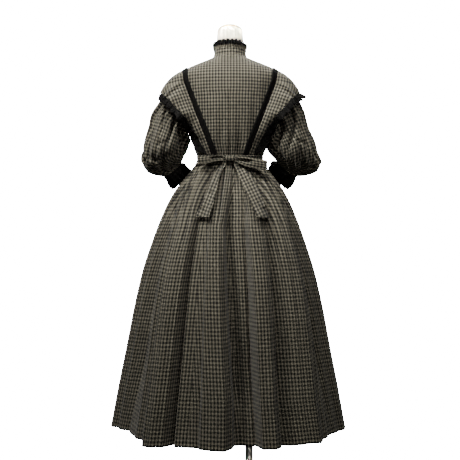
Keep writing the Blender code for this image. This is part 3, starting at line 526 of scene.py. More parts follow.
def shaped_cloth(
    across, down, place, plain=None, origins=None, grain=None, hang=None, stretch=(1, 1),
    weld=False, flip=False,
):
    """A sheet of cloth: a flat grid whose points go to place(s, t), with a map in metres.

    Plain gives the places that the map is measured on, without the sheet's smallest folds.
    Origins gives, for each square across, the column that its map is measured from. Hang
    gives where a column's own threads start, from its first point. Grain gives the map's
    place for a point, where the threads don't follow the grid. Stretch draws the map out.
    Weld closes the sheet's ends on each other, and flip turns its outer face over."""
    made = bmesh.new()
    bmesh.ops.create_grid(made, x_segments=across, y_segments=down, size=0.5)
    made.verts.ensure_lookup_table()
    rows = []
    for j in range(down + 1):
        row = made.verts[j * (across + 1):(j + 1) * (across + 1)]
        for i, vert in enumerate(row):
            vert.co = place(i / across, j / down)
        if plain:
            rows.append([plain(i / across, j / down) for i in range(across + 1)])
        else:
            rows.append([vert.co.copy() for vert in row])
    reach, falls = thread_places(rows, hang)
    grains = [[grain(point) for point in row] for row in rows] if grain else None
    made.verts.index_update()
    layer = made.loops.layers.uv.new("cloth")
    for face in made.faces:
        column = min(loop.vert.index % (across + 1) for loop in face.loops)
        origin = origins[column] if origins else across // 2
        for loop in face.loops:
            j, i = divmod(loop.vert.index, across + 1)
            if grain:
                loop[layer].uv = grains[j][i]
            else:
                from_origin = reach[j][i] - reach[j][origin]
                loop[layer].uv = (from_origin / stretch[0], falls[j][i] / stretch[1])
    if weld:
        bmesh.ops.remove_doubles(made, verts=made.verts, dist=0.00001)
    if flip:
        bmesh.ops.reverse_faces(made, faces=made.faces)
    return made


def sewn(name, made, finish_used, node, wall, laid=False):
    """A finished cloth piece with its wall, in place of its solid."""
    piece = finished(name, made, finish_used, 180)
    solidify = piece.modifiers.new("wall", "SOLIDIFY")
    solidify.thickness = wall
    solidify.offset = 1 if laid else -1
    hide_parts(node)
    return piece


def cotton(name, made, node, laid=False):
    """A finished piece of the checked cotton."""
    return sewn(name, made, checked_cotton, node, COTTON_WALL, laid)


CREASE_TOP_Z = 1.415
CREASE_DEPTH = 0.0066
CREASE_RISE = 0.0032
CREASE_HALF_WIDTH = 0.0042
CREASE_SWAY = 0.0020
SOFT_FOLD_DEPTH = 0.0054
WEARING_EASE = 0.0012
TUCK_DEPTH = 0.0022
TUCK_TURNS = 560
WAIST_TUCKS_TOP_Z = 1.235
WAIST_TUCKS_DEEP_Z = 1.165
SEAM_EASE_HEIGHT = 0.013
SEAM_EASE_WIDTH = 0.012
BODICE_GRID = (170, 112)
BODY_GRID = (200, 96)
ARMHOLE_Z = 1.385
ARMHOLE_HALF_HEIGHT = 0.052
ARMHOLE_HALF_DEPTH = 0.048


def bodice_row(t):
    """The bodice's row at a share of the way up it."""
    return BodyRow(*between(BODICE, t * (len(BODICE) - 1)))


def bodice_ease(point, back):
    """How far the cotton stands off the body: its crease, waist tucks and soft folds."""
    ease = WEARING_EASE * ripple(point.x * 38, point.z * 9, 2.0 if back else 5.0)
    uneven_z = point.z + 0.02 * ripple(point.x * 60, 0.0, 8.0)
    tucks = TUCK_DEPTH * (1 - smooth(WAIST_TUCKS_DEEP_Z, WAIST_TUCKS_TOP_Z, uneven_z))
    ease += tucks * math.sin(point.x * TUCK_TURNS + 2.5 * ripple(point.x * 45, point.z * 4, 3.0))
    if back:
        run = smooth(CREASE_TOP_Z, CREASE_TOP_Z - 0.05, point.z)
        apart = (point.x - CREASE_SWAY * ripple(point.z * 14, 0.0, 1.0)) / CREASE_HALF_WIDTH
        ease += CREASE_RISE * run * bell(apart / 3)
        ease -= CREASE_DEPTH * run * bell(apart)
        lower = 0.5 + 0.9 * smooth(1.36, 1.22, point.z)
        ease += SOFT_FOLD_DEPTH * run * lower * ripple(point.x * 42, point.z * 5, 12.0)
    return ease


def bodice_point(row, degrees, back):
    """The bodice's point on a row, at an angle, with its ease."""
    point = body_point(row, degrees)
    edge = smooth(0, SEAM_EASE_HEIGHT, point.z - BODICE[0].side_z)
    edge *= smooth(0, SEAM_EASE_WIDTH, abs(point.y))
    outward = Vector((point.x, point.y, 0)).normalized()
    return point + outward * bodice_ease(point, back) * edge


def cut_armholes(made):
    """Takes out the cloth inside both armholes, and draws the edge onto their ovals."""
    inside = [vert for vert in made.verts if armhole_share(vert.co) < 1]
    bmesh.ops.delete(made, geom=inside, context="VERTS")
    for vert in made.verts:
        share = armhole_share(vert.co)
        if vert.is_boundary and share < 1.25:
            vert.co.y /= share
            vert.co.z = ARMHOLE_Z + (vert.co.z - ARMHOLE_Z) / share


def armhole_share(point):
    """How far out of an armhole a point is: 1 on its edge."""
    if abs(point.x) < 0.12:
        return 9.0
    return math.hypot((point.z - ARMHOLE_Z) / ARMHOLE_HALF_HEIGHT, point.y / ARMHOLE_HALF_DEPTH)


def make_bodice(name, node, start, back):
    """One half of the bodice, from its start angle half way round."""
    made = shaped_cloth(
        *BODICE_GRID, lambda s, t: bodice_point(bodice_row(t), start + 180 * s, back), flip=True,
    )
    cut_armholes(made)
    return cotton(name, made, node)


bodice_back = make_bodice("bodice_back_cloth", "bodice_back", -90, True)
bodice_front = make_bodice("bodice_front_cloth", "bodice_front", 90, False)


def body_surface():
    """The bodice's outer face, closed round, that other pieces are laid on."""
    made = shaped_cloth(
        *BODY_GRID, lambda s, t: body_point(bodice_row(t), 360 * s), weld=True, flip=True,
    )
    tree = BVHTree.FromBMesh(made)
    made.free()
    return tree


body = body_surface()


# Skirt. Back and front panels of the same cotton, hemmed, seamed at the sides and gathered
# by a running thread into the waist seam, so that they fall in long uneven folds.

WAIST_Z = 1.150
HEM_Z = 0.200
HEM_RADIUS = 0.390
SkirtRow = namedtuple("SkirtRow", "z half_width back_depth front_depth power fold gather")

SKIRT = rows_of(SkirtRow, (
    (1.1497, 0.1110, 0.0800, 0.0850, 2.3, 0.00, 0.20),
    (1.1300, 0.1260, 0.0945, 0.0945, 2.1, 0.08, 0.55),
    (1.1040, 0.1440, 0.1138, 0.1138, 2.0, 0.16, 0.90),
    (1.0700, 0.1690, 0.1403, 0.1403, 2.0, 0.24, 1.00),
    (1.0250, 0.1950, 0.1736, 0.1736, 2.0, 0.34, 1.00),
    (0.9600, 0.2225, 0.2124, 0.2124, 2.0, 0.45, 0.85),
    (0.8700, 0.2530, 0.2512, 0.2512, 2.0, 0.57, 0.60),
    (0.7600, 0.2860, 0.2851, 0.2851, 2.0, 0.68, 0.30),
    (0.6300, 0.3140, 0.3140, 0.3140, 2.0, 0.78, 0.00),
    (0.4900, 0.3385, 0.3385, 0.3385, 2.0, 0.87, 0.00),
    (0.3450, 0.3647, 0.3647, 0.3647, 2.0, 0.95, 0.00),
    (HEM_Z, HEM_RADIUS, HEM_RADIUS, HEM_RADIUS, 2.0, 1.00, 0.00),
))
HIP_FALL = 0.25
SETTLED_FALL = 0.85

# Crests and valleys of the folds: the angle where each starts at the hips, its angle at
# the hem and the hem's radius there.
FoldRow = namedtuple("FoldRow", "hip hem radius")

FOLDS_BACK = rows_of(FoldRow, (
    (-90, -90.0, 0.412),
    (-85, -83.0, 0.407),
    (-78, -75.0, 0.384),
    (-71, -66.0, 0.372),
    (-65, -57.9, 0.384),
    (-62, -54.4, 0.386),
    (-58, -50.2, 0.403),
    (-53, -45.6, 0.414),
    (-46, -39.7, 0.403),
    (-39, -33.4, 0.386),
    (-32, -27.4, 0.371),
    (-28, -23.8, 0.399),
    (-24, -21.0, 0.417),
    (-16, -15.3, 0.410),
    (-13.8, -13.6, 0.346),
    (-10, -12.0, 0.352),
    (1.5, -5.9, 0.335),
    (4.0, -2.6, 0.340),
    (6.0, -0.8, 0.389),
    (8.5, 2.8, 0.420),
    (12, 7.5, 0.417),
    (15.5, 13.2, 0.412),
    (18, 15.8, 0.390),
    (21.5, 20.5, 0.388),
    (26, 26.6, 0.399),
    (28.5, 29.8, 0.366),
    (31, 31.8, 0.424),
    (36, 35.5, 0.445),
    (41, 39.5, 0.444),
    (48, 46.0, 0.400),
    (51, 50.0, 0.381),
    (57, 56.0, 0.383),
    (65, 64.0, 0.366),
    (76, 76.0, 0.363),
    (85, 85.0, 0.394),
    (90, 90.0, 0.423),
))
FOLDS_FRONT = rows_of(FoldRow, (
    (90, 90, 0.423),
    (96, 96, 0.432),
    (106, 106, 0.412),
    (120, 120, 0.376),
    (140, 140, 0.426),
    (160, 160, 0.372),
    (178, 178, 0.423),
    (197, 197, 0.372),
    (215, 215, 0.426),
    (236, 236, 0.376),
    (252, 252, 0.410),
    (262, 262, 0.402),
    (270, 270, 0.412),
))
FORM_HIPS_Z = 0.92
FORM_CLEARANCE = COTTON_WALL + 0.0004
SKIRT_ACROSS = 520
SKIRT_DOWN = 88
SKIRT_STRETCH = (1.06, 1.10)
CLOSER_AT_WAIST = 1.25
GATHERS = 33
GATHER_DEPTH = 0.0260
CREASE_SHARPNESS = 0.50
VALLEY_DEEPER = 0.65
FINE_FOLD_DEPTH = 0.0034
SMALL_FOLD_DEPTH = 0.0060
HEM_WAVE = 0.0030


def fold_lengths(folds):
    """How far round the hem each fold row lies, following its cloth."""
    lengths = [0.0]
    for here, there in zip(folds, folds[1:]):
        round_way = math.radians(there.hem - here.hem) * HEM_RADIUS
        lengths.append(lengths[-1] + math.hypot(round_way, there.radius - here.radius))
    return lengths


def fold_at(folds, lengths, s):
    """The fold's hip angle, hem angle and swell at a share of the way round the hem."""
    target = lengths[-1] * s
    index = 0
    while index < len(folds) - 2 and lengths[index + 1] < target:
        index += 1
    here, there = folds[index], folds[index + 1]
    share = (target - lengths[index]) / (lengths[index + 1] - lengths[index])
    ease = (1 - math.cos(math.pi * share)) / 2
    hip = here.hip + (there.hip - here.hip) * share
    hem = here.hem + (there.hem - here.hem) * share
    return hip, hem, here.radius + (there.radius - here.radius) * ease - HEM_RADIUS


def fall_at(t):
    """How far down the skirt a row of its grid is. The rows are closer near the waist."""
    return t ** CLOSER_AT_WAIST


@lru_cache(maxsize=None)
def skirt_row(fall):
    """The skirt's row at a share of the way down it."""
    z = WAIST_Z - JOINT_GAP + (HEM_Z - WAIST_Z + JOINT_GAP) * fall
    index = 0
    while index < len(SKIRT) - 2 and SKIRT[index + 1].z > z:
        index += 1
    share = (SKIRT[index].z - z) / (SKIRT[index].z - SKIRT[index + 1].z)
    return SkirtRow(*between(SKIRT, index + share))


def skirt_ring(row):
    """The level ring of a skirt row, without its folds."""
    return BodyRow(row.z, row.z, row.z, row.half_width, row.back_depth, row.front_depth, row.power)


def gather_depth(waist, fall, row):
    """How deep the cloth is drawn in between gathers, which run out at uneven lengths."""
    drift = 0.9 * ripple(waist * 0.09, fall * 2.0, 11.0)
    turn = math.pi * (waist * GATHERS / 180 + drift)
    valley = 1 - abs(math.sin(turn)) ** CREASE_SHARPNESS
    number = round(turn / math.pi)
    length = 0.10 + 0.20 * (0.5 + ripple(number * 0.73, 0.5, 17.0))
    depth = GATHER_DEPTH * (0.35 + 0.95 * smooth(-0.12, 0.30, ripple(number * 0.61, 4.5, 19.0)))
    return row.gather * depth * valley * (1 - smooth(length * 0.35, length * 1.6, fall))


def skirt_ease(waist, hem, fall):
    """Small folds between the large ones, from the gathers to the hem."""
    fine = FINE_FOLD_DEPTH * ripple(hem * 0.40, fall * 1.6, 23.0) * smooth(0.02, 0.25, fall)
    small = SMALL_FOLD_DEPTH * ripple(waist * 0.16, fall * 1.1, 31.0) * smooth(0.03, 0.20, fall)
    return fine + small * (1 - 0.5 * fall)


def clear_of(tree, point, lift, within=None):
    """The point, or its nearest place lift off a surface where it comes closer."""
    place, normal, _, distance = tree.find_nearest(point)
    if within and distance > within:
        return point
    if (point - place).dot(normal) >= lift:
        return point
    return place + normal * lift


def skirt_point(folds, lengths, start, s, t, plain=False):
    """Round a panel from its start angle with s, and down it with t. Plain has no gathers."""
    fall = fall_at(t)
    row = skirt_row(fall)
    hip, hem, swell = fold_at(folds, lengths, s)
    waist = start + 180 * s
    if fall < HIP_FALL:
        angle = waist + (hip - waist) * fall / HIP_FALL
    else:
        angle = hip + (hem - hip) * min(1.0, (fall - HIP_FALL) / (SETTLED_FALL - HIP_FALL))
    point = body_point(skirt_ring(row), angle)
    outward = Vector((point.x, point.y, 0)).normalized()
    seam = smooth(0, 0.02, min(s, 1 - s))
    if swell < 0:
        swell *= 1 + VALLEY_DEEPER * smooth(1.0, 0.72, fall)
    stand = swell * row.fold + skirt_ease(waist, hem, fall) * seam
    if not plain:
        stand -= gather_depth(waist, fall, row) * seam
    point += outward * stand
    if not plain and point.z > FORM_HIPS_Z:
        point = clear_of(form_tree, point, FORM_CLEARANCE)
    point.z += HEM_WAVE * smooth(0.9, 1.0, fall) * ripple(hem * 0.11, 0.0, 41.0)
    return point


def crest_columns(folds, lengths, across):
    """For each square across, the column on the crest of the fold that it is on."""
    crests = []
    valleys = []
    last = len(folds) - 1
    for i, row in enumerate(folds):
        lower = [folds[j].radius < row.radius for j in (i - 1, i + 1) if 0 <= j <= last]
        column = round(lengths[i] / lengths[-1] * across)
        if all(lower):
            crests.append(column)
        elif not any(lower):
            valleys.append(column)
    inner = [column for column in valleys if 0 < column < across]
    return [crests[sum(edge <= square for edge in inner)] for square in range(across)]


def make_skirt(name, node, folds, start):
    """One panel of the skirt, and its surface for other pieces to keep clear of."""
    lengths = fold_lengths(folds)
    made = shaped_cloth(
        SKIRT_ACROSS, SKIRT_DOWN, lambda s, t: skirt_point(folds, lengths, start, s, t),
        plain=lambda s, t: skirt_point(folds, lengths, start, s, t, True),
        origins=crest_columns(folds, lengths, SKIRT_ACROSS), stretch=SKIRT_STRETCH,
    )
    tree = BVHTree.FromBMesh(made)
    return cotton(name, made, node), tree


skirt_back, skirt = make_skirt("skirt_back_cloth", "skirt_back", FOLDS_BACK, -90)
skirt_front, _ = make_skirt("skirt_front_cloth", "skirt_front", FOLDS_FRONT, 90)


# Sleeves. Each is one piece of cotton, seamed under the arm, gathered into the armhole
# and into a narrow band above the wrist, so that it puffs out and droops over the band.

# One ring of a sleeve: its outermost and innermost point, the middle and half of its
# depth, and how far it tips to the front.
SleeveRow = namedtuple("SleeveRow", "outer_x outer_z inner_x inner_z mid_y half_depth rise")

SLEEVE = rows_of(SleeveRow, (
    (0.207, 1.436, 0.1575, 1.303, -0.001, 0.059, 0.00),
    (0.232, 1.404, 0.1590, 1.272, -0.003, 0.066, 0.00),
    (0.254, 1.355, 0.1570, 1.250, -0.006, 0.073, 0.00),
    (0.276, 1.310, 0.1530, 1.235, -0.009, 0.080, 0.00),
    (0.296, 1.258, 0.1470, 1.222, -0.012, 0.086, 0.02),
    (0.312, 1.200, 0.1500, 1.195, -0.017, 0.088, 0.06),
    (0.322, 1.150, 0.1640, 1.165, -0.022, 0.074, 0.12),
    (0.312, 1.122, 0.1720, 1.152, -0.026, 0.055, 0.22),
    (0.278, 1.104, 0.1770, 1.147, -0.031, 0.042, 0.30),
    (0.240, 1.099, 0.1790, 1.143, -0.036, 0.036, 0.38),
))
# Where a sleeve slumps away from the pattern: which side it is on, on which face of it (its
# outer one is 1), how far outwards it goes, and at what height.
SlumpRow = namedtuple("SlumpRow", "side face reach z half_height")

SLUMPS = rows_of(SlumpRow, (
    (1, -1, -0.010, 1.236, 0.028),
    (1, 1, 0.011, 1.318, 0.036),
    (1, 1, -0.006, 1.118, 0.030),
    (-1, -1, -0.025, 1.200, 0.042),
    (-1, 1, -0.009, 1.265, 0.045),
    (-1, 1, 0.010, 1.132, 0.030),
))
SLEEVE_TURNS = {1: 0.0, -1: 0.035}

# A deep fold in a sleeve: which side it is on, where it runs round and down the sleeve, and
# its half width and depth.
CreaseRow = namedtuple("CreaseRow", "side start middle end half_width depth")

CREASES = rows_of(CreaseRow, (
    (-1, (0.69, 0.16), (0.70, 0.36), (0.80, 0.62), 0.016, 0.022),
    (-1, (0.60, 0.20), (0.62, 0.45), (0.58, 0.70), 0.012, 0.012),
    (-1, (0.84, 0.24), (0.83, 0.42), (0.88, 0.62), 0.012, 0.012),
    (1, (0.60, 0.10), (0.58, 0.30), (0.57, 0.52), 0.012, 0.016),
    (1, (0.68, 0.14), (0.68, 0.32), (0.71, 0.50), 0.013, 0.014),
    (1, (0.78, 0.18), (0.79, 0.38), (0.76, 0.60), 0.014, 0.018),
    (1, (0.86, 0.22), (0.84, 0.44), (0.90, 0.66), 0.012, 0.014),
    (1, (0.62, 0.66), (0.72, 0.70), (0.84, 0.64), 0.020, 0.012),
))
SLEEVE_LIFT = 0.0019
SLEEVE_AXIS = Vector((0.365, 0.0, -0.931))
ARMHOLE_X = 0.176
HEAD_HALF_HEIGHT = 0.056
HEAD_HALF_DEPTH = 0.052
SLEEVE_ACROSS = 190
SLEEVE_DOWN = 110
HEAD_GATHERS = 30
HEAD_GATHER_DEPTH = 0.0085
LONG_FOLDS = 8
LONG_FOLD_DEPTH = 0.0210
BAND_GATHERS = 34
BAND_GATHER_DEPTH = 0.0080
WRINKLE_DEPTH = 0.0090
CRUMPLE_DEPTH = 0.0060
BREAK_DEPTH = 0.0110


def sleeve_middle(row):
    """The middle of a sleeve's ring."""
    return Vector(((row.outer_x + row.inner_x) / 2, row.mid_y, (row.outer_z + row.inner_z) / 2))


def sleeve_ring_point(row, degrees):
    """The point of a sleeve's ring at an angle, from its outermost point."""
    turn = math.radians(degrees)
    half = Vector((row.outer_x - row.inner_x, 0, row.outer_z - row.inner_z)) / 2
    deep = Vector((0, row.half_depth, -row.rise * row.half_depth))
    return sleeve_middle(row) + half * math.cos(turn) + deep * math.sin(turn)


def armhole_point(degrees):
    """Where the sleeve's top edge meets the bodice."""
    turn = math.radians(degrees)
    y = HEAD_HALF_DEPTH * math.sin(turn)
    z = ARMHOLE_Z + HEAD_HALF_HEIGHT * math.cos(turn)
    place, normal, _, _ = body.ray_cast(Vector((0.4, y, z)), Vector((-1, 0, 0)))
    return place + normal * SLEEVE_LIFT


@lru_cache(maxsize=None)
def sleeve_column(s):
    """The places down a sleeve at a share of the way round it, from the armhole."""
    degrees = 360 * s + 180
    return [armhole_point(degrees)] + [sleeve_ring_point(row, degrees) for row in SLEEVE]


SLEEVE_MIDDLES = [Vector((ARMHOLE_X, 0, ARMHOLE_Z))] + [sleeve_middle(row) for row in SLEEVE]


def gathered(s, count, seed):
    """Sharp valleys between round gathers, unevenly spaced. It closes at s = 1."""
    sway = 0.5 * math.sin(math.tau * (2 * s + seed)) + 0.4 * math.sin(math.tau * (5 * s + 2 * seed))
    return 1 - abs(math.sin(math.pi * count * s + sway)) ** 0.6


def sleeve_ease(s, t):
    """How far the cotton stands out or is drawn in along a sleeve."""
    return sleeve_softness(s, t) - sleeve_gathers(s, t) - sleeve_long_folds(s, t)


def round_ripple(s, scale, seed, drift_x=0.0, drift_y=0.0):
    """Soft uneven waves round a sleeve or cuff, that close at s = 1."""
    turn = math.tau * s
    return ripple(math.cos(turn) * scale + drift_x, math.sin(turn) * scale + drift_y, seed)


def sleeve_gathers(s, t):
    """How far the gathers of the head and of the band draw a sleeve in."""
    head = HEAD_GATHER_DEPTH * gathered(s, HEAD_GATHERS, 0.3) * smooth(0.0, 0.04, t)
    head *= 1 - smooth(0.10, 0.40 + 0.16 * round_ripple(s, 4, 2.2), t)
    foot = BAND_GATHER_DEPTH * gathered(s, BAND_GATHERS, 0.7) * (1 - smooth(0.97, 1.0, t))
    foot *= smooth(0.56 + 0.14 * round_ripple(s, 4, 4.2), 0.93, t)
    return head + foot


def sleeve_long_folds(s, t):
    """How far the long folds from the head draw a sleeve in."""
    sway = 0.028 * round_ripple(s, 1.5, 5.5, t * 3)
    depth = LONG_FOLD_DEPTH * (0.7 + 0.7 * round_ripple(s, 3, 7.7))
    run = smooth(0.02, 0.20, t) * (1 - smooth(0.50 + 0.3 * round_ripple(s, 6, 3.7), 0.92, t))
    return depth * gathered(s + sway, LONG_FOLDS, 0.15) * run


def sleeve_softness(s, t):
    """How far wrinkles move a sleeve out or in, more so low down."""
    wrinkle = WRINKLE_DEPTH * round_ripple(s, 2.6, 6.6, t * 1.5, -t * 1.5)
    low = smooth(0.35, 0.75, t)
    crumple = CRUMPLE_DEPTH * (0.4 + 0.9 * low) * round_ripple(s, 5, 9.1, t * 3, t * 7)
    broken = smooth(0.16, 0.0, abs(round_ripple(s, 2.2, 13.3, 3 * t, 5 * t)))
    run = smooth(0.08, 0.3, t) * (1 - smooth(0.88, 0.99, t))
    return (wrinkle + crumple - BREAK_DEPTH * low * broken) * run


def nearest_share(point, start, end):
    """How far along a line its nearest place to a point is, as a share, and how far away."""
    way = end - start
    share = min(max((point - start).dot(way) / way.length_squared, 0.0), 1.0)
    return share, (point - start - way * share).length


def creased(side, s, t):
    """How far the deep folds draw a sleeve in at a place. They run out at both ends."""
    depth = 0.0
    for crease in CREASES:
        if crease.side != side:
            continue
        bends = [Vector(bend) for bend in (crease.start, crease.middle, crease.end)]
        nearest = []
        for index in (0, 1):
            share, apart = nearest_share(Vector((s, t)), bends[index], bends[index + 1])
            nearest.append((apart, (index + share) / 2))
        apart, along = min(nearest)
        ends = smooth(-0.2, 0.2, along) * smooth(1.1, 0.7, along)
        depth += crease.depth * ends * bell(apart / crease.half_width)
    return depth


def sleeve_point(side, s, t, plain=False):
    """Round a sleeve with s, and down it with t. Its inside slumps against the bodice."""
    place = t * len(SLEEVE)
    point = Vector(between(sleeve_column(s), place))
    outward = (point - Vector(between(SLEEVE_MIDDLES, place))).normalized()
    for slump in SLUMPS:
        if slump.side == side:
            facing = max(0.0, -slump.face * math.cos(math.tau * s)) ** 2
            point.x += slump.reach * facing * bell((point.z - slump.z) / slump.half_height)
    if plain:
        return point
    return point + outward * (sleeve_ease(s + SLEEVE_TURNS[side], t) - creased(side, s, t))


def mirrored_cloth(made, side):
    """The same cloth on the wearer's left (side 1) or right (side -1)."""
    if side < 0:
        bmesh.ops.scale(made, vec=(-1, 1, 1), verts=made.verts)
        bmesh.ops.reverse_faces(made, faces=made.faces)
    return made


def side_name(side):
    """The wearer's side that a piece is on."""
    return "left" if side > 0 else "right"


for side in (1, -1):
    label = side_name(side)
    made = shaped_cloth(
        SLEEVE_ACROSS, SLEEVE_DOWN, lambda s, t: sleeve_point(side, s, t),
        plain=lambda s, t: sleeve_point(side, s, t, True), hang=SLEEVE_AXIS.dot, weld=True,
    )
    sleeve = cotton(f"sleeve_{label}_cloth", mirrored_cloth(made, side), f"sleeve_{label}")


# Cuffs. A gathered frill of black lace hangs from each sleeve's band, its net flaring to
# a scalloped edge. The lace is fine net with denser sprigs woven into it.

CUFF_MOUTH = Vector((0.176, -0.080, 1.086))
CUFF_OUTWARD = Vector((0.033, 0.0, -0.033))
CUFF_FORWARD = Vector((0.011, -0.034, 0.011))
CUFF_GRID = (210, 26)
CUFF_CLEARANCE = 0.003
CUFF_REACH = 0.03
CUFF_SWELL = 0.007
CUFF_LUMPS = 0.0130
RIGHT_CUFF_SWELL = 0.011
CUFF_WAVES = 15
CUFF_WAVE = 0.0060
CUFF_SCALLOPS = 38
CUFF_SCALLOP = 0.0026
CUFF_RUFFLES = 17
CUFF_RUFFLE = 0.0040
BAND_SHARE = 0.97
TRIM_GAP = 0.0009
LACE_WALL = 0.0008
LACE_BLACK = (0.0085, 0.0081, 0.0077)
LACE_NET = (0.030, 0.029, 0.027)
NET_PITCH = 0.0030

black_lace, lace_shader, lace_tree = finish("black_lace", LACE_BLACK, 0.80)
lace_map, lace_across, lace_down = cloth_places(lace_tree)
leaning = worked(lace_tree, "ADD", lace_across, lace_down)
falling = worked(lace_tree, "SUBTRACT", lace_across, lace_down)
net = worked(
    lace_tree, "MAXIMUM",
    repeats(lace_tree, leaning, NET_PITCH),
    repeats(lace_tree, falling, NET_PITCH),
)
sprigs = stepped(lace_tree, patchy(lace_tree, lace_map, 120, 3.0), 0.48, 0.60)
open_net = worked(lace_tree, "MULTIPLY", stepped(lace_tree, net, 0.80, 0.95), sprigs)
lace_tree.links.new(mixed(lace_tree, open_net, LACE_BLACK, LACE_NET), lace_shader.inputs["Base Color"])
lace_shader.inputs["Specular IOR Level"].default_value = 0.05
raised(lace_tree, lace_shader, net, 0.0004, 0.8)


def band_point(degrees):
    """A place on the sleeve's band, just inside the sleeve's end."""
    middle = sleeve_middle(SLEEVE[-1])
    spoke = sleeve_ring_point(SLEEVE[-1], degrees) - middle
    return middle + spoke * BAND_SHARE + (CUFF_MOUTH - middle).normalized() * TRIM_GAP


def cuff_mouth_point(spoke, s):
    """A place on the cuff's waved and scalloped mouth."""
    wave = CUFF_WAVE * math.sin(math.tau * CUFF_WAVES * s + 1.5 * math.sin(math.tau * 4 * s))
    scallop = CUFF_SCALLOP * abs(math.sin(math.pi * CUFF_SCALLOPS * s))
    return CUFF_MOUTH + spoke * 0.94 + spoke.normalized() * (wave + scallop)


def cuff_point(side, s, t):
    """Round a cuff with s, and down it from the band with t."""
    degrees = 360 * s + 180
    turn = math.radians(degrees)
    spoke = CUFF_OUTWARD * math.cos(turn) - CUFF_FORWARD * math.sin(turn)
    swell = CUFF_SWELL + CUFF_LUMPS * round_ripple(s + 0.5, 2.6, 3.3 * side, t)
    if side < 0:
        swell += RIGHT_CUFF_SWELL * max(0.0, -math.cos(turn))
    ruffle = CUFF_RUFFLE * gathered(s, CUFF_RUFFLES, 0.4) * smooth(0.0, 0.3, t)
    trimmed = t * (0.95 + 0.14 * round_ripple(s + 0.5, 2.3, 8.8))
    point = band_point(degrees).lerp(cuff_mouth_point(spoke, s), trimmed)
    point += spoke.normalized() * (swell * math.sin(math.pi * t ** 0.8) - ruffle)
    return clear_of(skirt, point, CUFF_CLEARANCE, CUFF_REACH)


for side in (1, -1):
    label = side_name(side)
    made = shaped_cloth(*CUFF_GRID, lambda s, t: cuff_point(side, s, t), weld=True)
    cuff = sewn(
        f"cuff_{label}_lace", mirrored_cloth(made, side), black_lace,
        f"cuff_{label}", LACE_WALL,
    )


# Collar. A standing cotton band round the neck, with a pleated cotton frill above it and
# a gathered edging of black lace that stands against the form's neck.

COLLAR = rows_of(BodyRow, (
    (1.5163, 1.5233, 1.4633, 0.0605, 0.0580, 0.0600, 2.0),
    (1.5320, 1.5380, 1.4790, 0.0565, 0.0545, 0.0565, 2.0),
    (1.5460, 1.5510, 1.4940, 0.0545, 0.0520, 0.0550, 2.0),
))
COLLAR_FRILL = rows_of(BodyRow, (
    (1.5450, 1.5500, 1.4930, 0.0557, 0.0532, 0.0562, 2.0),
    (1.5560, 1.5610, 1.5030, 0.0565, 0.0550, 0.0585, 2.0),
))
COLLAR_LACE = rows_of(BodyRow, (
    (1.5548, 1.5598, 1.5018, 0.0577, 0.0562, 0.0597, 2.0),
    (1.5650, 1.5750, 1.5120, 0.0590, 0.0580, 0.0605, 2.0),
))
FRILL_PLEATS = 44
COLLAR_WAVES = 11
COLLAR_WAVE = 0.0005
LACE_SCALLOPS = 24
LACE_SCALLOP = 0.0060
LACE_LOWER = 0.0032
LACE_DROOP = 0.006


def neck_point(rows, s, t, wave):
    """Round the neck with s from the front, and up a piece's rows with t, moved out by a wave."""
    row = BodyRow(*between(rows, t * (len(rows) - 1)))
    point = body_point(row, 180 + 360 * s)
    return point + Vector((point.x, point.y, 0)).normalized() * wave


def pleat_wave(s, foot, flare, t, sway=0.0):
    """The frill's pleats, of one depth at the foot and deeper by the flare at the edge."""
    return (foot + flare * t) * math.sin(math.tau * FRILL_PLEATS * s + sway * t)


def collar_point(s, t):
    """The collar band, with slight waves above its seam."""
    wave = COLLAR_WAVE * math.sin(math.tau * COLLAR_WAVES * s + 9 * t) * smooth(0, 0.3, t)
    return neck_point(COLLAR, s, t, wave)


def frill_point(s, t):
    """The pleated frill above the band."""
    return neck_point(COLLAR_FRILL, s, t, pleat_wave(s, 0.0004, 0.0028, t))


def collar_lace_point(s, t):
    """The lace above the frill, scalloped, and drooping on the wearer's right."""
    sway = 0.8 * math.sin(math.tau * 5 * s)
    point = neck_point(COLLAR_LACE, s, t, pleat_wave(s, 0.0032, 0.0014, t, sway))
    point.z += t * (LACE_SCALLOP * abs(math.sin(math.pi * LACE_SCALLOPS * s)) - LACE_LOWER)
    point.z -= LACE_DROOP * t * smooth(-0.030, -0.056, point.x)
    return point


def make_round_neck(name, node, place, grid, used):
    """One piece of the collar, closed round the neck."""
    made = shaped_cloth(*grid, place, weld=True, flip=True)
    piece = sewn(name, made, used, node, LACE_WALL)


make_round_neck(
    "collar_band", "collar", collar_point, (180, 14),
    checked_cotton,
)
make_round_neck(
    "collar_frill_cloth", "collar_frill", frill_point, (352, 8),
    checked_cotton,
)
make_round_neck(
    "collar_lace_edge", "collar_lace", collar_lace_point, (352, 10),
    black_lace,
)


# Shoulder capes. A black braid covers the seam where each pleated cape is sewn to the
# bodice, from waist to waist over the shoulder, and gathered black lace edges the cape.

BraidRow = namedtuple("BraidRow", "z x")

BRAID_LINE = rows_of(BraidRow, (
    (1.152, 0.0485),
    (1.168, 0.0545),
    (1.195, 0.0645),
    (1.222, 0.0740),
    (1.250, 0.0845),
    (1.280, 0.0963),
    (1.310, 0.1080),
    (1.338, 0.1190),
    (1.366, 0.1295),
    (1.392, 0.1395),
    (1.415, 0.1475),
))
ShoulderRow = namedtuple("ShoulderRow", "degrees x")

SHOULDER_LINE = rows_of(ShoulderRow, (
    (8, 0.1515),
    (20, 0.1540),
    (32, 0.1560),
    (44, 0.1575),
    (56, 0.1590),
    (70, 0.1603),
    (90, 0.1610),
))
SHOULDER_AXIS_Z = 1.415
BRAID_WIDTH = 0.021
BRAID_LIFT = 0.0021
BRAID_WALL = 0.0012
CAPE_LIFT = BRAID_LIFT + 0.0015

# The cape beside each place of the braid past the first: its outer edge, and how far that
# stands off the bodice at the least.
CapeRow = namedtuple("CapeRow", "x y z stand")

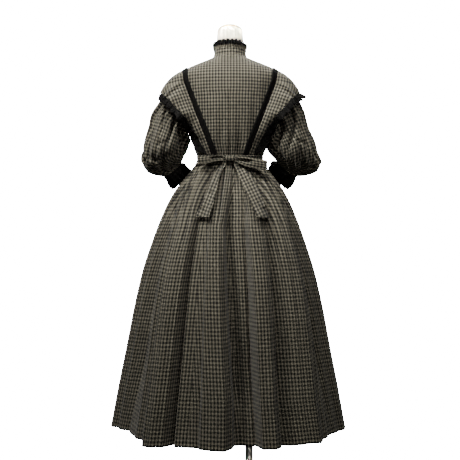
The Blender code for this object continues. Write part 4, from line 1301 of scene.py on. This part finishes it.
CAPE = rows_of(CapeRow, (
    (0.0810, 0.070, 1.170, 0.0030),
    (0.0940, 0.071, 1.196, 0.0035),
    (0.1065, 0.071, 1.219, 0.0045),
    (0.1200, 0.074, 1.243, 0.0065),
    (0.1350, 0.083, 1.266, 0.0100),
    (0.1570, 0.092, 1.293, 0.0120),
    (0.1790, 0.098, 1.320, 0.0120),
    (0.1970, 0.097, 1.341, 0.0120),
    (0.2090, 0.089, 1.354, 0.0120),
    (0.2200, 0.078, 1.364, 0.0120),
    (0.2265, 0.069, 1.370, 0.0120),
    (0.2320, 0.059, 1.375, 0.0120),
    (0.2370, 0.048, 1.379, 0.0120),
    (0.2410, 0.037, 1.383, 0.0120),
    (0.2440, 0.026, 1.386, 0.0120),
    (0.2465, 0.013, 1.387, 0.0120),
    (0.2475, 0.000, 1.388, 0.0120),
))
CAPE_BULGE = 0.022
LACE_GAP = 0.0015
FRONT_DEPTH_SHARE = 1.22
CAPE_LACE_WIDTH = 0.0195
LACE_FOOT_WIDTH = 0.042
LACE_FOOT_RUN = 0.20
LACE_FOOT_Z = 1.164
LACE_FOOT_STANDS = {1: 0.007, -1: 0.012}
CORD_HEIGHT = 0.0011
CAPE_WAVES = 13
CAPE_WAVE = 0.0045
CAPE_GATHERS = 62
LACE_WAVE = 0.0045
LACE_FINE_WAVE = 0.0012
LACE_TRIM = 0.003
CAPE_SCALLOP = 0.0022
BRAID_GRID = (16, 360)
CAPE_GRID = (26, 300)
CAPE_LACE_GRID = (12, 620)


def braid_stations():
    """Places down the braid's middle, with the way the bodice faces there: up the back and
    over to the top of the shoulder, then the same down the front."""
    rays = []
    for row in BRAID_LINE:
        rays.append((Vector((row.x, 1, row.z)), Vector((0, -1, 0))))
    for row in SHOULDER_LINE:
        turn = math.radians(row.degrees)
        spoke = Vector((0, math.cos(turn), math.sin(turn)))
        rays.append((Vector((row.x, 0, SHOULDER_AXIS_Z)) + spoke, -spoke))
    for start, way in rays[-2::-1]:
        rays.append((Vector((start.x, -start.y, start.z)), Vector((0, -way.y, way.z))))
    return [body.ray_cast(start, way)[:2] for start, way in rays]


def braid_lines():
    """The braid's middle at each station, with the way across it."""
    stations = braid_stations()
    lines = []
    for i, (place, normal) in enumerate(stations):
        before = stations[max(i - 1, 0)][0]
        after = stations[min(i + 1, len(stations) - 1)][0]
        across = (after - before).cross(normal).normalized()
        lines.append((place, across if across.x > 0 else -across))
    return lines


BRAID = braid_lines()


def lifted(point, lift):
    """The nearest place on the bodice, lifted off it."""
    place, normal, _, _ = body.find_nearest(point)
    return place + normal * lift


def braid_point(s, t):
    """Across the braid with s, and along it with t. Its two cords stand proud."""
    place = t * (len(BRAID) - 1)
    middle = Vector(between([line[0] for line in BRAID], place))
    across = Vector(between([line[1] for line in BRAID], place)).normalized()
    cords = CORD_HEIGHT * abs(math.sin(math.tau * s))
    return lifted(middle + across * BRAID_WIDTH * (s - 0.5), BRAID_LIFT + cords)


@lru_cache(maxsize=None)
def cape_controls():
    """For each station of the cape: its inner edge, its middle and its outer edge."""
    back = [Vector((row.x, row.y, row.z)) for row in CAPE]
    front = [Vector((p.x, -p.y * FRONT_DEPTH_SHARE, p.z)) for p in back[-2::-1]]
    stands = [row.stand for row in CAPE]
    stands += stands[-2::-1]
    inside = [lifted(place + across * BRAID_WIDTH / 2, BRAID_LIFT) for place, across in BRAID[1:-1]]
    last = len(inside) - 1
    controls = []
    for i, (inner, outer, stand) in enumerate(zip(inside, back + front, stands)):
        outer = clear_of(body, outer, stand)
        start = clear_of(body, inner + (outer - inner).normalized() * TRIM_GAP, CAPE_LIFT)
        run = inside[min(i + 1, last)] - inside[max(i - 1, 0)]
        swell = run.cross(outer - inner).normalized()
        if swell.dot(lifted(inner, 1) - lifted(inner, 0)) < 0:
            swell = -swell
        fullness = math.sin(math.pi * i / last)
        controls.append((start, (start + outer) / 2 + swell * CAPE_BULGE * fullness, outer, swell))
    return controls


@lru_cache(maxsize=None)
def cape_station(t):
    """The cape's controls at a share of the way along it."""
    controls = cape_controls()
    place = t * (len(controls) - 1)
    return [Vector(between([row[k] for row in controls], place)) for k in range(4)]


def cape_grain(point):
    """The cape's map: across it from the braid, and along it. Its threads run with the braid."""
    places = []
    run = 0.0
    for (start, _), (end, _) in zip(BRAID, BRAID[1:]):
        share, apart = nearest_share(point, start, end)
        places.append((apart, run + (end - start).length * share))
        run += (end - start).length
    return min(places)


def cape_point(s, t):
    """Across the cape from the braid with s, and along it with t."""
    start, middle, outer, swell = cape_station(t)
    point = start.lerp(middle, s).lerp(middle.lerp(outer, s), s)
    ends = smooth(0, 0.08, t) * smooth(1, 0.92, t)
    wave = math.sin(math.tau * CAPE_WAVES * t + 2 * ripple(t * 9, 0, 5))
    point += swell * ends * s * CAPE_WAVE * wave
    return clear_of(body, point, CAPE_LIFT)


@lru_cache(maxsize=None)
def cape_hem(t):
    """The cape's edge, which way its lace falls there and which way it faces."""
    here = cape_point(1.0, t)
    outward = (here - cape_point(0.9, t)).normalized()
    foot = smooth(LACE_FOOT_RUN, 0, min(t, 1 - t))
    fall = (outward - Vector((0, 0, 0.55 * (1 - foot)))).normalized()
    _, face, _, _ = body.find_nearest(here)
    return here, fall, face, foot


def cape_lace_point(side, s, t):
    """Across the lace from the cape's edge with s, and along it with t."""
    here, fall, face, foot = cape_hem(t)
    wave = LACE_WAVE * s * math.sin(math.pi * CAPE_GATHERS * t + 2.5 * ripple(t * 30, 0.0, 7.0))
    wave += LACE_FINE_WAVE * math.sin(math.tau * CAPE_GATHERS * 2 * t) * smooth(0, 0.3, s)
    wave *= 1 - 0.85 * foot
    over_shoulder = smooth(0.30, 0.44, t) * smooth(0.70, 0.56, t)
    width = CAPE_LACE_WIDTH + (LACE_FOOT_WIDTH - CAPE_LACE_WIDTH) * foot
    if side > 0:
        width -= LACE_TRIM * over_shoulder
    else:
        fall = fall.lerp(Vector((1, 0, -0.35)), 0.85 * over_shoulder).normalized()
    scallop = CAPE_SCALLOP * s * abs(math.sin(math.pi * CAPE_GATHERS * t)) * (1 - foot)
    point = here + fall * (LACE_GAP + (width + scallop) * s) + face * wave
    point = point.lerp(lifted(point, CAPE_LIFT + LACE_FOOT_STANDS[side] * s), foot * s)
    point.z = max(point.z, LACE_FOOT_Z)
    return clear_of(body, point, CAPE_LIFT + max(wave, 0))


BRAID_BLACK = (0.0025, 0.0023, 0.0022)
BRAID_SHINE = (0.009, 0.0084, 0.0080)
PLAIT_PITCH = 0.0042

black_braid, braid_shader, braid_tree = finish("black_braid", BRAID_BLACK, 0.75)
_, braid_across, braid_along = cloth_places(braid_tree)
from_middle = worked(braid_tree, "ABSOLUTE", braid_across)
plait = repeats(braid_tree, worked(braid_tree, "ADD", from_middle, braid_along), PLAIT_PITCH)
braid_tree.links.new(mixed(braid_tree, plait, BRAID_BLACK, BRAID_SHINE), braid_shader.inputs["Base Color"])
braid_shader.inputs["Specular IOR Level"].default_value = 0.05
raised(braid_tree, braid_shader, plait, 0.0006, 0.9)

for side in (1, -1):
    label = side_name(side)
    made = mirrored_cloth(shaped_cloth(*BRAID_GRID, braid_point, flip=True), side)
    braid = sewn(
        f"braid_{label}", made, black_braid, f"trim_{label}", BRAID_WALL, laid=True,
    )
    made = mirrored_cloth(shaped_cloth(*CAPE_GRID, cape_point, grain=cape_grain, flip=True), side)
    cape = cotton(f"cape_{label}", made, f"bretelle_{label}")
    made = shaped_cloth(*CAPE_LACE_GRID, lambda s, t: cape_lace_point(side, s, t), flip=True)
    lace = sewn(
        f"cape_lace_{label}", mirrored_cloth(made, side), black_lace,
        f"bretelle_lace_{label}", LACE_WALL, laid=True,
    )


# Sash and bow. A crossways-folded band is sewn into each side seam and the two are tied
# behind in a bow: a knot over two loops, with both ends hanging over the skirt.

SashRow = namedtuple("SashRow", "z back_lift side_lift")

SASH = rows_of(SashRow, (
    (1.134, 0.0140, 0.0145),
    (1.149, 0.0090, 0.0060),
    (1.163, 0.0100, 0.0063),
))
SASH_GRID = (90, 20)
SASH_FOLD = 0.0011


def sash_point(side, s, t):
    """Round a sash band with s, from the middle of the back, and up it with t."""
    row = SashRow(*between(SASH, t * (len(SASH) - 1)))
    lift = row.back_lift + (row.side_lift - row.back_lift) * s ** 4
    lift += SASH_FOLD * math.sin(math.tau * 2.6 * t + 1.2 * ripple(s * 4, 0, side)) * smooth(1, 0.8, s)
    waist = BODICE[0]
    ring = waist._replace(
        side_z=row.z, back_z=row.z,
        half_width=waist.half_width + lift, back_depth=waist.back_depth + lift,
    )
    point = body_point(ring, side * 90 * s)
    if s == 0:
        point.x = side * JOINT_GAP / 2
    return point


def turned_map(made):
    """Turns a piece's check by a quarter, for cloth cut along its length."""
    layer = made.loops.layers.uv["cloth"]
    for face in made.faces:
        for loop in face.loops:
            across, along = loop[layer].uv
            loop[layer].uv = (along, across)
    return made


for side in (1, -1):
    label = side_name(side)
    made = shaped_cloth(*SASH_GRID, lambda s, t: sash_point(side, s, t), flip=side > 0)
    band_piece = cotton(f"sash_{label}_cloth", turned_map(made), f"sash_{label}", laid=True)

KNOT_SIZE = Vector((0.036, 0.019, 0.021))
KNOT_CENTRE = Vector((0.0, 0.1013, 1.1525))
KNOT_CUTS = 23
KNOT_ROUNDNESS = 0.62
KNOT_PLEAT_SHARE = 0.18


def drawn_in(place, first, second):
    """A cube's place along one axis, drawn onto a ball. The other two are its other places."""
    rest = 1 - first ** 2 / 2 - second ** 2 / 2 + first ** 2 * second ** 2 / 3
    return place * math.sqrt(max(0.0, rest))


def knot_point(x, y, z):
    """A place of the knot, from one on a cube whose places go from -1 to 1."""
    ball = Vector((drawn_in(x, y, z), drawn_in(y, z, x), drawn_in(z, x, y)))
    rounded = Vector((x, y, z)).lerp(ball, KNOT_ROUNDNESS)
    crest = abs(math.sin(math.pi * (2.1 * rounded.x + 0.35 * rounded.z + 0.2))) ** 0.5
    rounded.y *= 1 - KNOT_PLEAT_SHARE * (1 - crest)
    return rounded / 2


knot_made = bmesh.new()
bmesh.ops.create_cube(knot_made, size=1)
bmesh.ops.subdivide_edges(knot_made, edges=knot_made.edges, cuts=KNOT_CUTS, use_grid_fill=True)
knot_map = knot_made.loops.layers.uv.new("cloth")
for vert in knot_made.verts:
    vert.co = knot_point(*(vert.co * 2))
for face in knot_made.faces:
    for loop in face.loops:
        loop[knot_map].uv = (loop.vert.co.x * KNOT_SIZE.x, loop.vert.co.z * KNOT_SIZE.z)
bmesh.ops.scale(knot_made, vec=KNOT_SIZE, verts=knot_made.verts)
bmesh.ops.translate(knot_made, vec=KNOT_CENTRE, verts=knot_made.verts)
knot = finished("knot_cloth", knot_made, checked_cotton, 180)
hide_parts("bow_knot")

# A loop of the bow: which side it is on, where its outer end is, how far it droops and how
# evenly, half of its height at the knot and at its end and where it has opened out to that,
# and how high up it a crease leaves the knot.
LoopRow = namedtuple("LoopRow", "side end_x droop power knot_half end_half open_at crease crease_turn flat")

LOOPS = (
    LoopRow(1, 0.115, 0.006, 1.5, 0.0085, 0.0155, 1.1, 0.68, -0.27, (0.032, 0.205)),
    LoopRow(-1, 0.130, 0.025, 0.65, 0.0085, 0.0175, 0.4, 0.42, 0.43, (0.036, 0.245)),
)
LOOP_HALF_DEPTH = 0.012
LOOP_MIDDLE_Y = KNOT_CENTRE.y + 0.004
LOOP_TURN_BACK = 0.006
LOOP_CREASE_DEPTH = 0.0120
LOOP_ROUNDNESS = 0.0020
CREASE_SHARE = 0.13
LOOP_OPEN_DEGREES = 14
LOOP_GRID = (120, 40)


def loop_point(loop, s, t):
    """Along a loop's ribbon with s, out from the knot and back to it, and up it with t."""
    start_x = KNOT_SIZE.x / 2 + JOINT_GAP
    first = 180 - LOOP_OPEN_DEGREES
    turn = math.radians(first - 2 * first * s)
    inmost = math.cos(math.radians(first))
    reach = (math.cos(turn) - inmost) / (1 - inmost)
    height = 2 * t - 1
    x = start_x + (loop.end_x - start_x) * reach
    y = LOOP_MIDDLE_Y + LOOP_HALF_DEPTH * math.sin(turn) - LOOP_TURN_BACK * reach
    half = loop.knot_half + (loop.end_half - loop.knot_half) * smooth(-0.1, loop.open_at, reach)
    z = KNOT_CENTRE.z - loop.droop * reach ** loop.power + half * height
    outside = 1 if math.sin(turn) > 0 else -1
    from_crease = (t - loop.crease - loop.crease_turn * reach) / CREASE_SHARE
    y -= outside * LOOP_CREASE_DEPTH * bell(from_crease) * smooth(0.60, 0.40, reach)
    y += outside * LOOP_ROUNDNESS * math.sin(math.pi * t) * smooth(0.1, 0.6, reach)
    return Vector((loop.side * x, y, z))


for loop in LOOPS:
    label = side_name(loop.side)
    made = shaped_cloth(*LOOP_GRID, lambda s, t: loop_point(loop, s, t), flip=loop.side > 0)
    ribbon = cotton(f"bow_loop_{label}_cloth", turned_map(made), f"bow_loop_{label}")

# A tail: which side it is on, how low it ends, and where its middle is and its width at
# even steps from the knot down to its end.
TailPlace = namedtuple("TailPlace", "x width")
TailRow = namedtuple("TailRow", "side end_z places")

TAILS = (
    TailRow(1, 0.9455, (
        TailPlace(0.0210, 0.018),
        TailPlace(0.0430, 0.021),
        TailPlace(0.0590, 0.029),
        TailPlace(0.0745, 0.039),
        TailPlace(0.0925, 0.046),
    )),
    TailRow(-1, 0.9435, (
        TailPlace(-0.0210, 0.020),
        TailPlace(-0.0480, 0.035),
        TailPlace(-0.0730, 0.046),
        TailPlace(-0.0930, 0.045),
        TailPlace(-0.1107, 0.042),
    )),
)
TAIL_TOP_Z = KNOT_CENTRE.z - KNOT_SIZE.z / 2 - JOINT_GAP
TAIL_TOP_Y = KNOT_CENTRE.y - 0.0015
TAIL_LIFT = 0.0030
TAIL_GAP = 0.001
TAIL_STAND = 0.0120
TAIL_CURL = 0.0030
TAIL_PLEAT = 0.0035
TAIL_GRID = (30, 110)


@lru_cache(maxsize=None)
def tail_depth(x, z):
    """The y of a tail over the skirt's back at a place, off its highest fold near there."""
    depths = [TAIL_TOP_Y]
    for step in (-0.012, -0.006, 0, 0.006, 0.012):
        hit, _, _, _ = skirt.ray_cast(Vector((x + step, 1, z)), Vector((0, -1, 0)))
        if hit:
            depths.append(hit.y + TAIL_LIFT)
    return max(depths)


def tail_point(tail, s, t):
    """Across a tail with s, and down it with t."""
    z = TAIL_TOP_Z + (tail.end_z - TAIL_TOP_Z) * t
    middle, width = between(tail.places, t * (len(tail.places) - 1))
    half = width / 2
    x = middle + half * (2 * s - 1)
    rows = [tail_depth(round(middle + half * across, 4), round(z, 3)) for across in (-1, 0, 1)]
    y = between([(depth,) for depth in rows], 2 * s)[0]
    inner = 1 - s if tail.side > 0 else s
    stand = TAIL_STAND * (0.2 + 0.9 * inner) * smooth(0, 0.25, t)
    curl = TAIL_CURL * abs(math.sin(math.pi * 1.6 * s + 0.5 + tail.side * 0.4)) * smooth(0, 0.4, t)
    pleat = TAIL_PLEAT * math.sin(math.tau * 1.5 * s + 0.8) * smooth(0.55, 0.0, t)
    return Vector((x, y + stand + curl + pleat + TAIL_GAP, z))


def tail_grain(tail, point):
    """A tail's map: its threads run down its length."""
    down = Vector((tail.places[-1].x - tail.places[0].x, 0, tail.end_z - TAIL_TOP_Z)).normalized()
    return point.x * -down.z + point.z * down.x, point.dot(down)


for tail in TAILS:
    label = side_name(tail.side)
    made = shaped_cloth(
        *TAIL_GRID, lambda s, t: tail_point(tail, s, t), grain=lambda point: tail_grain(tail, point),
    )
    ribbon = cotton(f"tail_{label}_cloth", made, f"tail_{label}", laid=True)
